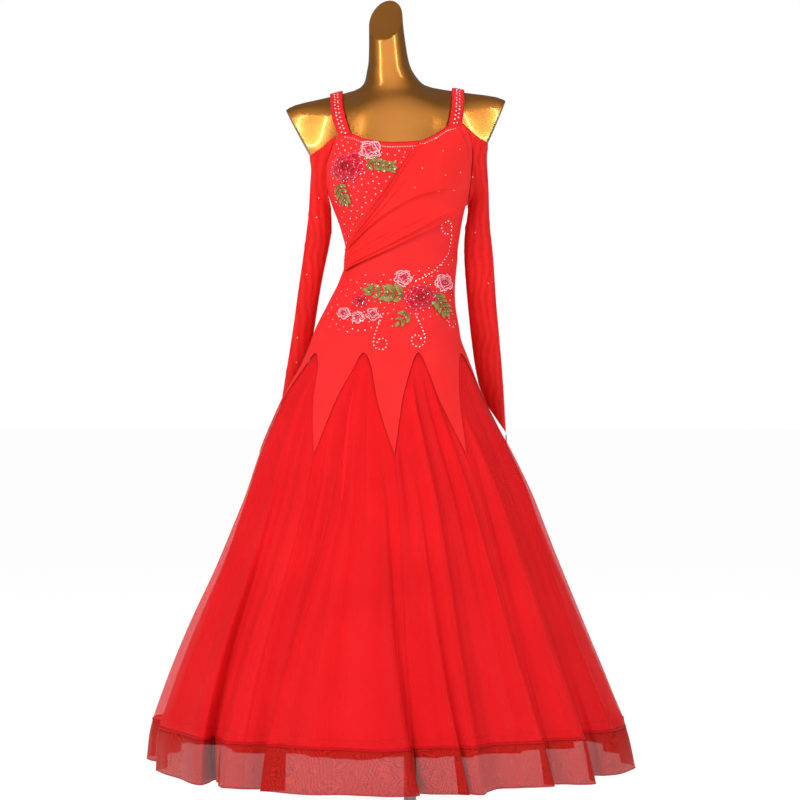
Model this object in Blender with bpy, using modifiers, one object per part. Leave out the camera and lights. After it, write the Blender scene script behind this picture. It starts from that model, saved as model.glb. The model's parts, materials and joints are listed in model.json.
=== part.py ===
"""Ballroom dance dress on a limbless dress form.

Metres, +Z up. The front faces -Y, the stand's base is centred on the origin.
The wearer's right is at -X. An angle of 0 is the front, 90 degrees is +X.
"""
import math

import bmesh
import bpy
from mathutils import Vector
from mathutils.bvhtree import BVHTree

# Stand
BASE_RADIUS = 0.165
BASE_THICKNESS = 0.008
BASE_EDGE = 0.002
POLE_RADIUS = 0.011
SOCKET_RADIUS = 0.020        # the boss under the form that the pole carries
SOCKET_DROP = 0.018
SEAT_GAP = 0.0003            # between the base, the pole and the form

# Form
FORM_BOTTOM = 0.720
FORM_QUARTER = 10            # columns in a quarter of the form's round
TALLEST_RING = 0.036         # a taller step between two sections is halved
SHOULDER_BLEND = 5           # the higher, the sharper the chest turns into the shoulder bar
TILT_LOW = 1.060             # levels between which the shoulders' slope sets in
TILT_HIGH = 1.200

# Cloth
CREPE_THICKNESS = 0.0012
ORGANZA_THICKNESS = 0.0010
APPLIQUE_THICKNESS = 0.0012
FORM_CLEARANCE = 0.0034      # middle of the crepe wall to the form
ARM_EASE = 0.0040            # how much further it stands off beside the arm stubs
ARM_LOW = 1.120              # levels between which that ease sets in
ARM_HIGH = 1.180
ARM_SIDE = (0.70, 0.93)      # and how far round towards the side, as the sine of the angle
SEAM_GAP = 0.0006            # between the middles of two walls at a seam
LAID_ON = 0.0018             # middle of the bodice's wall to the middle of an applique's
BODICE_RADIUS = 0.120        # rough radii, which turn a gap into an angle
HIP_RADIUS = 0.200
PROBE = 0.004                # how far apart the points are that give a skin's normal
PUSH_STEP = 0.0004           # how finely cloth is moved off the form

# Skirt
HEM_HEIGHT = 0.130
BAND_HEIGHT = 0.072
HEM_LINE = HEM_HEIGHT + BAND_HEIGHT
INNER_HEM = HEM_LINE + 0.008
GODET_TOP = 0.846
YOKE_POINT = 0.672
SEAM_ROUNDNESS = 1.8
PANEL_HALF_WIDTH = 0.060     # along the hip seam
SEAM_KNOTS = 3               # straight stretches from a godet's top to a yoke point
FLUTE_DEPTH = 0.040
FLUTE_GROWTH = 1.35
LAYER_GAP_TOP = 0.0023
LAYER_DROP = 0.004           # the inner layer's top edge lies this far below the outer's
LAYER_GAP_HEM = 0.026
LAYER_OPEN = 0.75            # share of the way down at which the layers are fully apart
ROW_CROWDING = 0.85          # below 1, the rows crowd towards the hip seam

# Bodice
YOKE_LINE = 0.885            # below it the rows fan out to the zigzag seam
BODICE_ROWS = 12             # from the top edge to the yoke line
YOKE_ROWS = 3                # from there to the hip seam
SHOULDER_TILT = 0.040
BUST_FULLNESS = 0.022
BUST_HEIGHT = 1.158
BUST_SPREAD = 0.062
BUST_WIDTH = 0.046
BUST_TALLNESS = 0.052

# Straps
STRAP_WIDTH = 0.024
STRAP_THICKNESS = 0.0016
STRAP_CLEARANCE = 0.0027     # middle of the strap's wall to the form
STRAP_SEAM_GAP = 0.0022
STRAP_CENTRE = 1.215         # height and y inside the shoulder that the straps turn about
STRAP_CENTRE_Y = 0.008
STRAP_ROWS = 20

# Sections of the form: level, centre x, centre y, half width, half depth,
# reach of the shoulder bar, half depth of the shoulder bar
FORM_SECTIONS = [
    (0.720, -0.041, 0.004, 0.128, 0.100, 0.020, 0.020),
    (0.760, -0.042, 0.006, 0.137, 0.110, 0.020, 0.020),
    (0.800, -0.042, 0.007, 0.139, 0.113, 0.020, 0.020),
    (0.840, -0.042, 0.005, 0.1340, 0.109, 0.020, 0.020),
    (0.869, -0.042, 0.003, 0.1285, 0.104, 0.020, 0.020),
    (0.890, -0.0397, 0.001, 0.1228, 0.099, 0.020, 0.020),
    (0.932, -0.0326, 0.000, 0.1088, 0.090, 0.020, 0.020),
    (0.975, -0.0220, 0.000, 0.0983, 0.081, 0.020, 0.020),
    (1.017, -0.0140, 0.000, 0.0940, 0.077, 0.020, 0.020),
    (1.060, -0.0160, -0.002, 0.1010, 0.082, 0.020, 0.020),
    (1.081, -0.0176, -0.003, 0.1062, 0.086, 0.020, 0.020),
    (1.110, -0.0195, -0.004, 0.1150, 0.091, 0.020, 0.020),
    (1.150, -0.0210, -0.003, 0.1250, 0.096, 0.040, 0.020),
    (1.187, -0.0215, 0.000, 0.1270, 0.096, 0.143, 0.040),
    (1.210, -0.0220, 0.002, 0.1270, 0.093, 0.186, 0.046),
    (1.235, -0.0230, 0.005, 0.1240, 0.088, 0.202, 0.049),
    (1.265, -0.0240, 0.008, 0.1120, 0.080, 0.203, 0.046),
    (1.282, -0.0245, 0.010, 0.0980, 0.074, 0.196, 0.039),
    (1.292, -0.0250, 0.011, 0.0850, 0.069, 0.178, 0.031),
    (1.300, -0.0270, 0.012, 0.0740, 0.064, 0.135, 0.026),
    (1.308, -0.0290, 0.0125, 0.0640, 0.059, 0.090, 0.024),
    (1.318, -0.0310, 0.013, 0.0550, 0.055, 0.040, 0.020),
    (1.330, -0.0330, 0.012, 0.0465, 0.050, 0.010, 0.010),
    (1.345, -0.0365, 0.010, 0.0400, 0.045, 0.010, 0.010),
    (1.362, -0.0380, 0.008, 0.0355, 0.040, 0.010, 0.010),
    (1.390, -0.0400, 0.005, 0.0325, 0.037, 0.010, 0.010),
    (1.430, -0.0425, 0.002, 0.0300, 0.035, 0.010, 0.010),
    (1.485, -0.0440, 0.000, 0.0285, 0.034, 0.010, 0.010),
]

# Sections of the skirt over the flutes: level, centre x, centre y, half width, half depth
SKIRT_SECTIONS = [
    (0.130, -0.0300, 0.000, 0.4330, 0.410),
    (0.180, -0.0340, 0.000, 0.4250, 0.402),
    (0.260, -0.0380, 0.000, 0.3960, 0.375),
    (0.366, -0.0400, 0.000, 0.3510, 0.331),
    (0.472, -0.0385, 0.000, 0.3030, 0.283),
    (0.578, -0.0385, 0.001, 0.2590, 0.236),
    (0.678, -0.0445, 0.002, 0.2180, 0.192),
    (0.763, -0.0480, 0.003, 0.1790, 0.152),
    (0.791, -0.0460, 0.004, 0.1657, 0.139),
    (0.826, -0.0425, 0.004, 0.1490, 0.123),
    (0.848, -0.0420, 0.004, 0.1400, 0.115),
    (0.869, -0.0420, 0.003, 0.1320, 0.108),
    (0.900, -0.0380, 0.001, 0.1230, 0.100),
]
BLEND_LOW = 0.850
BLEND_HIGH = 0.890

# Ends of the arm stubs: a point of the slanted cut and the way it faces
ARM_CUTS = [
    ((-0.2180, 0.0, 1.2740), (-0.880, -0.05, -0.475)),
    ((0.1700, 0.0, 1.2950), (0.916, -0.05, -0.400)),
]
CUTS_ABOVE = 1.140           # the slanted cuts leave the torso below this height alone
NECK_CUT = ((-0.043, 0.0, 1.432), (-0.22, -0.74, 0.62))

# Angles of the yoke's points and of the godet tops between them, in degrees
YOKE_POINTS = [-87.0, -38.0, 5.0, 44.0, 93.0, 138.0, 183.0, 228.0, 273.0]
GODET_TOPS = [-65.0, -19.0, 28.0, 71.0, 116.0, 160.0, 205.0, 250.0]

# Folds of the skirt between its flutes: angle, half width, share of the full depth
FOLDS = [
    (-76.0, 6.5, 0.85), (-52.0, 6.0, 1.00), (-26.0, 6.0, 0.95), (3.0, 5.5, 1.00),
    (15.5, 4.5, 0.60), (27.0, 4.5, 0.90), (40.0, 5.0, 0.80), (61.0, 6.0, 1.00),
    (83.0, 6.5, 0.80), (104.0, 6.5, 0.95), (125.0, 6.0, 0.80), (147.0, 6.5, 1.00),
    (168.0, 6.0, 0.85), (190.0, 6.5, 0.95), (211.0, 6.0, 1.00), (232.0, 6.5, 0.80),
    (256.0, 7.0, 1.00),
]

# Armhole: level, x on the wearer's right, x on the wearer's left
UNDERARM = 1.100
ARMHOLE = [
    (1.140, -0.1470, 0.1050),
    (1.172, -0.1460, 0.1085),
    (1.205, -0.1360, 0.1075),
    (1.230, -0.1244, 0.0990),
    (1.247, -0.1180, 0.0873),
]
# Top edges: x, height
NECK_FRONT = [
    (-0.1244, 1.2290), (-0.1030, 1.2255), (-0.0755, 1.2129), (-0.0340, 1.2075),
    (0.0133, 1.2093), (0.0426, 1.2218), (0.0650, 1.2380), (0.0873, 1.2440),
]
NECK_BACK = [
    (-0.1244, 1.2260), (-0.1030, 1.2180), (-0.0650, 1.1980), (-0.0200, 1.1900),
    (0.0250, 1.1970), (0.0600, 1.2170), (0.0873, 1.2340),
]

# Draped overlay, as x and height on the front: its gathered end at the wearer's
# right waist, and its spread end along the neckline, strap, armhole and side
DRAPE_WAIST = [(-0.1095, 1.0290), (-0.1115, 1.0080), (-0.1120, 0.9870)]
DRAPE_TOP = [
    (0.0180, 1.2060), (0.0450, 1.2210), (0.0760, 1.2400), (0.0960, 1.2080),
    (0.1030, 1.1600), (0.0945, 1.1130), (0.0850, 1.0800),
]
DRAPE_LIFT = 0.0025          # middle of the bodice's wall to the middle of the drape's
DRAPE_ROWS = 14
DRAPE_COLUMNS = 12
DRAPE_TUCKS = 3
TUCK_HEIGHT = 0.0030
TUCK_SHAPE = 1.5             # the higher, the sharper a tuck's edge
TUCK_FLAT = 0.25             # share of a tuck's height that is left at the bust
TUCK_FADE = 0.7
DRAPE_BULK = 0.0032          # where the tucks are gathered in at the side

# Straps: x of the middle at the front edge, on the shoulder's crest and at the back edge
STRAPS = {
    "strap_right": (-0.1115, -0.1290, -0.1020),
    "strap_left": (0.0745, 0.0840, 0.0650),
}

# Sleeves above the underarm: height outside and x outside, at the top and the underarm
SLEEVE_HEADS = {
    "sleeve_right": [(1.1880, -0.1730), (1.1050, -0.1760)],
    "sleeve_left": [(1.2090, 0.1335), (1.1020, 0.1400)],
}
# Sleeves below it: height, centre x, centre y, half width, half depth, slant
SLEEVE_TUBES = {
    "sleeve_right": [
        (1.094, -0.1590, -0.003, 0.0200, 0.0200, 0.004),
        (1.060, -0.1600, 0.004, 0.0235, 0.0180, 0.0),
        (1.017, -0.1680, 0.012, 0.0212, 0.0140, 0.0),
        (0.954, -0.1800, 0.026, 0.0196, 0.0130, 0.0),
        (0.890, -0.1890, 0.044, 0.0194, 0.0130, 0.0),
        (0.827, -0.2010, 0.066, 0.0190, 0.0130, 0.0),
        (0.784, -0.2110, 0.086, 0.0185, 0.0130, 0.010),
        (0.733, -0.2225, 0.110, 0.0180, 0.0125, 0.027),
    ],
    "sleeve_left": [
        (1.091, 0.1215, 0.000, 0.0185, 0.0200, 0.004),
        (1.060, 0.1190, 0.005, 0.0235, 0.0170, 0.0),
        (1.017, 0.1215, 0.011, 0.0270, 0.0130, 0.0),
        (0.954, 0.1260, 0.022, 0.0260, 0.0120, 0.0),
        (0.890, 0.1325, 0.038, 0.0260, 0.0120, 0.0),
        (0.827, 0.1400, 0.058, 0.0250, 0.0120, 0.0),
        (0.784, 0.1460, 0.074, 0.0235, 0.0120, 0.010),
        (0.731, 0.1540, 0.094, 0.0200, 0.0120, 0.030),
    ],
}
SLEEVE_COLUMNS = 14
SLEEVE_SEAM_GAP = 0.0008
SLEEVE_CLEARANCE = 0.0040
SLEEVE_LAP = 0.0024          # how far the underarm seam stands out over the bodice
SLEEVE_PUSH_IN = 0.050       # the axis it is moved away from lies this far inside the armhole
SLEEVE_PUSH_Y = 0.004
SLEEVE_ROUNDING = 0.8        # how far its rows turn round before the tube starts
LOOP_LENGTH = 0.026
LOOP_WIDTH = 0.008
LOOP_WIRE = 0.0009

# Flowers: x, height, radius, petals
FLOWERS = {
    "flower_rose_upper": (-0.0700, 1.1930, 0.0170, 5),
    "flower_peony_upper": (-0.1080, 1.1660, 0.0270, 6),
    "flower_hip_large": (0.0170, 0.9400, 0.0240, 6),
    "flower_hip_top": (-0.0115, 0.9740, 0.0130, 5),
    "flower_hip_side": (0.0570, 0.9680, 0.0140, 5),
    "flower_hip_small_1": (-0.0840, 0.9330, 0.0105, 5),
    "flower_hip_small_2": (-0.1130, 0.9130, 0.0110, 5),
    "flower_hip_small_3": (-0.0900, 0.9050, 0.0110, 5),
    "flower_hip_small_4": (-0.0640, 0.9110, 0.0110, 5),
}
# Leaf sprigs: x and height at the root, x and height at the tip, half width, leaf pairs
SPRIGS = {
    "leaves_upper_1": ((-0.0740, 1.1690), (-0.0260, 1.1620), 0.0095, 4),
    "leaves_upper_2": ((-0.1240, 1.1360), (-0.1090, 1.1040), 0.0090, 3),
    "leaves_hip_1": ((-0.0130, 0.9430), (-0.0780, 0.9540), 0.0130, 4),
    "leaves_hip_2": ((0.0440, 0.9440), (0.0660, 0.9120), 0.0105, 3),
    "leaves_hip_3": ((-0.0060, 0.9130), (-0.0240, 0.8930), 0.0075, 2),
}
PETAL_RISE = 0.0026
PETAL_NOTCH = 0.78
# Rings of a flower: share of its radius, share of the petals' rise
PETAL_RINGS = [(1.0, 0.0), (0.5, 1.0), (0.0, 0.8)]
LEAF_RISE = 0.0018
LEAF_NOTCH = 0.30            # width between two leaf pairs, as a share of a pair's
LEAF_TAPER = 0.4             # how much narrower the last pair is
LEAF_LEAN = 0.35             # how far a leaf's point leans on, as a share of a pair's length
# Layers of a skirt panel: columns each side of its top, rows, whether it is the inner one
SKIRT_LAYERS = [("skirt_outer_", 6, 8, 0), ("skirt_inner_", 4, 6, 1)]
BAND_ROWS = 2


def clear_scene():
    """Remove whatever the file opened with."""
    for item in list(bpy.data.objects):
        bpy.data.objects.remove(item, do_unlink=True)


def steps(count):
    """Fractions from 0 to 1 in equal steps."""
    return [i / count for i in range(count + 1)]


def mix(low, high, share):
    return low + (high - low) * share


def smooth_step(low, high, value):
    share = min(1.0, max(0.0, (value - low) / (high - low)))
    return share * share * (3.0 - 2.0 * share)


def read_table(rows, key, column):
    """A smooth curve through one column of a table, with no overshoot between rows."""
    keys = [row[0] for row in rows]
    values = [row[column] for row in rows]
    if key <= keys[0]:
        return values[0]
    if key >= keys[-1]:
        return values[-1]
    slopes = [(values[i + 1] - values[i]) / (keys[i + 1] - keys[i]) for i in range(len(keys) - 1)]

    def tangent(i):
        if i == 0 or i == len(keys) - 1:
            return slopes[0] if i == 0 else slopes[-1]
        before, after = slopes[i - 1], slopes[i]
        return 0.0 if before * after <= 0.0 else 2.0 * before * after / (before + after)

    i = max(n for n in range(len(keys) - 1) if keys[n] <= key)
    span = keys[i + 1] - keys[i]
    t = (key - keys[i]) / span
    return ((2 * t ** 3 - 3 * t ** 2 + 1) * values[i] + (t ** 3 - 2 * t ** 2 + t) * span * tangent(i)
            + (3 * t ** 2 - 2 * t ** 3) * values[i + 1] + (t ** 3 - t ** 2) * span * tangent(i + 1))


def along(points, share):
    """A point at a share of the number of stretches of a polyline of pairs."""
    place = min(max(share, 0.0), 0.999999) * (len(points) - 1)
    i = int(place)
    return tuple(mix(points[i][k], points[i + 1][k], place - i) for k in range(2))


def ellipse_radius(angle, half_width, half_depth):
    return 1.0 / math.hypot(math.sin(angle) / half_width, math.cos(angle) / half_depth)


def form_radius(angle, level):
    """The chest's ellipse and the shoulder bar's, run into one smooth outline."""
    _, _, _, width, depth, reach, bar = [read_table(FORM_SECTIONS, level, c) for c in range(7)]
    chest = ellipse_radius(angle, width, depth)
    shoulder = ellipse_radius(angle, reach, bar)
    return (chest ** SHOULDER_BLEND + shoulder ** SHOULDER_BLEND) ** (1.0 / SHOULDER_BLEND)


def tilt_at(level):
    """The shoulders slope down towards the wearer's right."""
    return SHOULDER_TILT * smooth_step(TILT_LOW, TILT_HIGH, level)


def bust_at(x, level, angle):
    """How far the bust stands forward at a place on the front."""
    front = min(1.0, max(0.0, 2.0 * math.cos(angle)))
    rise = math.exp(-((level - BUST_HEIGHT) / BUST_TALLNESS) ** 2)
    across = sum(math.exp(-((x - side * BUST_SPREAD) / BUST_WIDTH) ** 2) for side in (-1, 1))
    return BUST_FULLNESS * front * rise * across


def form_point(angle, level, clearance=0.0):
    """A point of the form's skin, or of a skin that stands off it by the clearance."""
    radius = form_radius(angle, level) + clearance
    x = radius * math.sin(angle)
    forward = radius * math.cos(angle) + bust_at(x, level, angle)
    return Vector((read_table(FORM_SECTIONS, level, 1) + x,
                   read_table(FORM_SECTIONS, level, 2) - forward,
                   level + tilt_at(level) * x))


def dress_skin(angle, level):
    """Middle of the crepe: close to the form above, the skirt's flare below."""
    at_arm = smooth_step(ARM_LOW, ARM_HIGH, level) * smooth_step(*ARM_SIDE, abs(math.sin(angle)))
    upper = form_point(angle, level, FORM_CLEARANCE + ARM_EASE * at_arm)
    share = smooth_step(BLEND_LOW, BLEND_HIGH, level)
    if share >= 1.0:
        return upper
    radius = ellipse_radius(angle, *[read_table(SKIRT_SECTIONS, level, c) for c in (3, 4)])
    lower = Vector((read_table(SKIRT_SECTIONS, level, 1) + radius * math.sin(angle),
                    read_table(SKIRT_SECTIONS, level, 2) - radius * math.cos(angle), level))
    return lower.lerp(upper, share)


def dress_point(angle, level, out=0.0):
    """A point of the crepe's middle, moved out along the skin's normal."""
    here = dress_skin(angle, level)
    if out == 0.0:
        return here
    across = dress_skin(angle + PROBE, level) - dress_skin(angle - PROBE, level)
    up = dress_skin(angle, level + PROBE) - dress_skin(angle, level - PROBE)
    return here + across.cross(up).normalized() * out


def angle_of_x(x, level, front=True):
    """The angle at which the dress's skin has a given x, on its front or back."""
    low, high = -math.pi / 2, math.pi / 2
    for _ in range(30):
        middle = 0.5 * (low + high)
        if dress_skin(middle, level).x < x:
            low = middle
        else:
            high = middle
    return low if front else math.pi - low


def front_point(x, height, out):
    """A point on the front of the bodice with a given x and height."""
    centre = read_table(FORM_SECTIONS, height, 1)
    level = height - tilt_at(height) * (x - centre)
    return dress_point(angle_of_x(x, level), level, out)


def clear_of_form(point):
    """Whether a point is outside the form's faces and far enough off them for a sleeve."""
    place, facing, _, distance = FORM_FACES[0].find_nearest(point)
    return (point - place).dot(facing) > 0.0 and distance >= SLEEVE_CLEARANCE


def keep_off_form(point, axis_x, axis_y):
    """Move a point out from an upright axis until it is clear of the form."""
    away = Vector((point.x - axis_x, point.y - axis_y, 0.0)).normalized()
    moved = point.copy()
    while not clear_of_form(moved):
        moved += away * PUSH_STEP
    return moved


def seam_level(share):
    """Level of the hip seam, from a godet's top at 0 to a yoke point at 1."""
    place = min(max(share, 0.0), 0.999999) * SEAM_KNOTS
    knot = int(place)
    drop = mix((knot / SEAM_KNOTS) ** SEAM_ROUNDNESS,
               ((knot + 1) / SEAM_KNOTS) ** SEAM_ROUNDNESS, place - knot)
    return mix(GODET_TOP, YOKE_POINT, drop)


def seam_gap(seam):
    """The seam's gap as measured down the cloth, wider where the seam runs steeply."""
    share = ((GODET_TOP - seam) / (GODET_TOP - YOKE_POINT)) ** (1.0 / SEAM_ROUNDNESS)
    reach = 0.2
    drop = seam_level(share - reach) - seam_level(share + reach)
    return SEAM_GAP * math.hypot(1.0, drop / (2.0 * reach * PANEL_HALF_WIDTH))


def seam_columns(panel, per_side):
    """Angle in radians and seam level of each column of one panel, point to point."""
    start, top, end = YOKE_POINTS[panel], GODET_TOPS[panel], YOKE_POINTS[panel + 1]
    falling = [(mix(start, top, s), seam_level(1.0 - s)) for s in steps(per_side)]
    rising = [(mix(top, end, s), seam_level(s)) for s in steps(per_side)[1:]]
    return [(math.radians(degrees), level) for degrees, level in falling + rising]


def fold_depth(angle, share):
    """How far the skirt falls in between its flutes, at a share of the way down."""
    degrees = math.degrees(angle)
    total = 0.0
    for place, half_width, depth in FOLDS:
        apart = (degrees - place + 180.0) % 360.0 - 180.0
        total += depth * math.exp(-(apart / half_width) ** 2)
    return FLUTE_DEPTH * total * max(0.0, share) ** FLUTE_GROWTH


def skirt_point(angle, level, seam, layer_in):
    """A point of a skirt layer that lies inside the flutes by layer_in."""
    share = (seam - level) / (seam - HEM_HEIGHT)
    skin = dress_skin(angle, level)
    inward = fold_depth(angle, share) + layer_in
    return skin - Vector((math.sin(angle), -math.cos(angle), 0.0)) * inward


def make_material(name, colour, roughness, metallic=0.0, alpha=1.0):
    material = bpy.data.materials.new(name)
    material.use_nodes = True
    shader = material.node_tree.nodes["Principled BSDF"]
    shader.inputs["Base Color"].default_value = (*colour, 1.0)
    shader.inputs["Roughness"].default_value = roughness
    shader.inputs["Metallic"].default_value = metallic
    shader.inputs["Alpha"].default_value = alpha
    return material


def add_object(name, mesh, material):
    thing = bpy.data.objects.new(name, mesh)
    mesh.materials.append(material)
    COLLECTION.objects.link(thing)
    return thing


def add_thickness(thing, thickness):
    """Make a wall of an open surface, half of it on each side."""
    wall = thing.modifiers.new("Wall", "SOLIDIFY")
    wall.thickness = thickness
    wall.offset = 0.0


def sheet(name, rows, material, thickness, joined_from=None):
    """A cloth wall through rows of points. From row joined_from on, its sides are joined."""
    mesh = bpy.data.meshes.new(name)
    work = bmesh.new()
    last = len(rows[0]) - 1
    made_at = {}

    def vertex(point):
        key = tuple(point)
        if key not in made_at:
            made_at[key] = work.verts.new(point)
        return made_at[key]

    grid = []
    for number, row in enumerate(rows):
        made = [vertex(point) for point in row[:last]]
        joined = joined_from is not None and number >= joined_from
        made.append(made[0] if joined else vertex(row[last]))
        grid.append(made)
    for upper, lower in zip(grid, grid[1:]):
        for i in range(last):
            corners = [upper[i], lower[i], lower[i + 1], upper[i + 1]]
            work.faces.new(list(dict.fromkeys(corners)))
    work.to_mesh(mesh)
    work.free()
    mesh.shade_smooth()
    thing = add_object(name, mesh, material)
    add_thickness(thing, thickness)
    return thing


def build_stand(material):
    """The round base plate and the pole that carries the form."""
    bpy.ops.mesh.primitive_cylinder_add(vertices=32, radius=BASE_RADIUS, depth=BASE_THICKNESS,
                                        location=(0, 0, BASE_THICKNESS / 2))
    base = bpy.context.object
    edge = base.modifiers.new("Edge", "BEVEL")
    edge.width = BASE_EDGE
    edge.segments = 1
    pole_low = BASE_THICKNESS + SEAT_GAP
    pole_high = FORM_BOTTOM - SOCKET_DROP - SEAT_GAP
    bpy.ops.mesh.primitive_cylinder_add(vertices=16, radius=POLE_RADIUS, depth=pole_high - pole_low,
                                        location=(0, 0, (pole_low + pole_high) / 2))
    pole = bpy.context.object
    for thing, name in ((base, "stand_base"), (pole, "stand_pole")):
        thing.name = name
        thing.data.name = name
        thing.data.materials.append(material)
        for owner in list(thing.users_collection):
            owner.objects.unlink(thing)
        COLLECTION.objects.link(thing)
        thing.data.shade_smooth()
        thing.data.set_sharp_from_angle(angle=math.radians(40))


def cut_flat(work, place, facing):
    """Cut away what lies beyond a plane, in the upper part, and close the cut."""
    upper = [vert for vert in work.verts if vert.co.z > CUTS_ABOVE]
    for items in (work.edges, work.faces):
        upper += [item for item in items if all(v.co.z > CUTS_ABOVE for v in item.verts)]
    done = bmesh.ops.bisect_plane(work, geom=upper, plane_co=place, plane_no=facing,
                                  dist=1e-6, clear_outer=True)
    edges = [item for item in done["geom_cut"] if isinstance(item, bmesh.types.BMEdge)]
    bmesh.ops.contextual_create(work, geom=edges)


def even_angles(level, per_quarter):
    """Angles round the form at a level, so spaced that its points lie evenly apart."""
    count = 90
    fine = [0.5 * math.pi * share for share in steps(count)]
    points = [form_radius(a, level) * Vector((math.sin(a), math.cos(a))) for a in fine]
    reached = [0.0]
    for before, after in zip(points, points[1:]):
        reached.append(reached[-1] + (after - before).length)
    quarter = []
    for share in steps(per_quarter)[:-1]:
        i = max(n for n in range(count) if reached[n] <= share * reached[-1])
        part = (share * reached[-1] - reached[i]) / (reached[i + 1] - reached[i])
        quarter.append(mix(fine[i], fine[i + 1], part))
    back = [math.pi - a for a in reversed(quarter[1:])]
    half = quarter + [math.pi / 2] + back
    return half + [math.pi + a for a in half]


def build_form(material):
    """The limbless torso on its socket, lofted through its sections and cut at arms and neck."""
    columns = 4 * FORM_QUARTER
    levels = []
    for low, high in zip(FORM_SECTIONS, FORM_SECTIONS[1:]):
        parts = 2 if high[0] - low[0] > TALLEST_RING else 1
        levels += [mix(low[0], high[0], k / parts) for k in range(parts)]
    levels.append(FORM_SECTIONS[-1][0])
    work = bmesh.new()
    rings = []
    for level in levels:
        angles = even_angles(level, FORM_QUARTER)
        rings.append([work.verts.new(form_point(angle, level)) for angle in angles])
    for lower, upper in zip(rings, rings[1:]):
        for i in range(columns):
            k = (i + 1) % columns
            work.faces.new([lower[i], lower[k], upper[k], upper[i]])
    for drop in (0.0, SOCKET_DROP):
        ring = []
        for angle in even_angles(FORM_BOTTOM, FORM_QUARTER):
            x, y = SOCKET_RADIUS * math.sin(angle), -SOCKET_RADIUS * math.cos(angle)
            ring.append(work.verts.new((x, y, FORM_BOTTOM - drop)))
        rings.insert(0, ring)
        for i in range(columns):
            k = (i + 1) % columns
            work.faces.new([rings[0][i], rings[0][k], rings[1][k], rings[1][i]])
    work.faces.new(rings[0][::-1])
    work.faces.new(rings[-1])
    for place, facing in ARM_CUTS + [NECK_CUT]:
        cut_flat(work, Vector(place), Vector(facing))
    bmesh.ops.recalc_face_normals(work, faces=work.faces[:])
    FORM_FACES.append(BVHTree.FromBMesh(work))
    mesh = bpy.data.meshes.new("form_torso")
    work.to_mesh(mesh)
    work.free()
    mesh.shade_smooth()
    mesh.set_sharp_from_angle(angle=math.radians(50))
    add_object("form_torso", mesh, material)


def armhole_angle(level, side, front):
    """Angle of the armhole's edge at a level. side is -1 or 1, the wearer's right or left."""
    seam = math.radians(YOKE_POINTS[0] if side < 0 else YOKE_POINTS[4])
    if not front:
        seam = math.radians(YOKE_POINTS[8] if side < 0 else YOKE_POINTS[4])
    if level <= UNDERARM:
        return seam
    table_level = max(level, ARMHOLE[0][0])
    edge = angle_of_x(read_table(ARMHOLE, table_level, 1 if side < 0 else 2), table_level, front)
    share = min(1.0, (level - UNDERARM) / (ARMHOLE[0][0] - UNDERARM))
    return mix(seam, edge, share)


def top_level(angle_share, side, front):
    """Level of the top edge for a column that lies at a share of its side's width."""
    table = NECK_FRONT if front else NECK_BACK
    level = STRAP_CENTRE
    for _ in range(6):
        centre = 0.0 if front else math.pi
        angle = mix(centre, armhole_angle(level, side, front), angle_share)
        x = dress_skin(angle, level).x
        height = read_table(table, x, 1)
        level = height - tilt_at(height) * (x - read_table(FORM_SECTIONS, height, 1))
    return level


def armhole_levels(side, front):
    """Levels of the bodice's armhole edge from the top down to the underarm."""
    top = top_level(1.0, side, front)
    levels = [mix(YOKE_LINE, top, step) for step in steps(BODICE_ROWS)[::-1]]
    return [level for level in levels if level > UNDERARM]


def bodice_half(name, front, material):
    """Front or back of the bodice, from its top edge down to the zigzag hip seam."""
    panels = (0, 1, 2, 3) if front else (4, 5, 6, 7)
    columns = []
    for panel in panels:
        made = seam_columns(panel, SEAM_KNOTS)
        columns += made if not columns else made[1:]
    centre = 0.0 if front else math.pi
    first, last = columns[0][0], columns[-1][0]
    inset = SEAM_GAP / 2 / BODICE_RADIUS
    lines = []
    for angle, seam in columns:
        edge = first if angle < centre else last
        side = -1 if (angle < centre) == front else 1
        share = abs(angle - centre) / abs(edge - centre)
        trim = inset * share * (1 if edge > centre else -1)
        line = []
        for step in steps(BODICE_ROWS)[::-1]:
            level = mix(YOKE_LINE, top_level(share, side, front), step)
            turn = mix(centre, armhole_angle(level, side, front), share)
            line.append(dress_point(turn - trim, level))
        for step in steps(YOKE_ROWS)[1:]:
            line.append(dress_point(angle - trim, mix(YOKE_LINE, seam + seam_gap(seam) / 2, step)))
        lines.append(line)
    rows = [list(row) for row in zip(*lines)]
    sheet(name, rows, material, CREPE_THICKNESS)


def tuck_rise(across, along_share):
    """Height of the drape's tucks: soft ledges that fade towards the wearer's left bust."""
    place = across * DRAPE_TUCKS
    ledge = (place - math.floor(place)) ** TUCK_SHAPE if across < 1.0 else 1.0
    return TUCK_HEIGHT * ledge * mix(TUCK_FLAT, 1.0, (1.0 - along_share) ** TUCK_FADE)


def build_drape(material):
    """The overlay from bust to waist, made from the bodice's own skin, moved out."""
    rows = []
    for step in steps(DRAPE_ROWS):
        row = []
        for across in steps(DRAPE_COLUMNS):
            low_x, low_z = along(DRAPE_WAIST, across)
            high_x, high_z = along(DRAPE_TOP, across)
            out = DRAPE_LIFT + tuck_rise(across, step) + DRAPE_BULK * (1.0 - step) ** 2
            row.append(front_point(mix(low_x, high_x, step), mix(low_z, high_z, step), out))
        rows.append(row)
    sheet("sash_drape", rows, material, CREPE_THICKNESS)


def strap_point(x, turn):
    """Where a ray from inside the shoulder leaves the form, plus the strap's clearance."""
    centre = Vector((x, STRAP_CENTRE_Y, STRAP_CENTRE))
    way = Vector((0.0, -math.cos(turn), math.sin(turn)))
    return FORM_FACES[0].ray_cast(centre, way)[0] + way * STRAP_CLEARANCE


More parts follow.
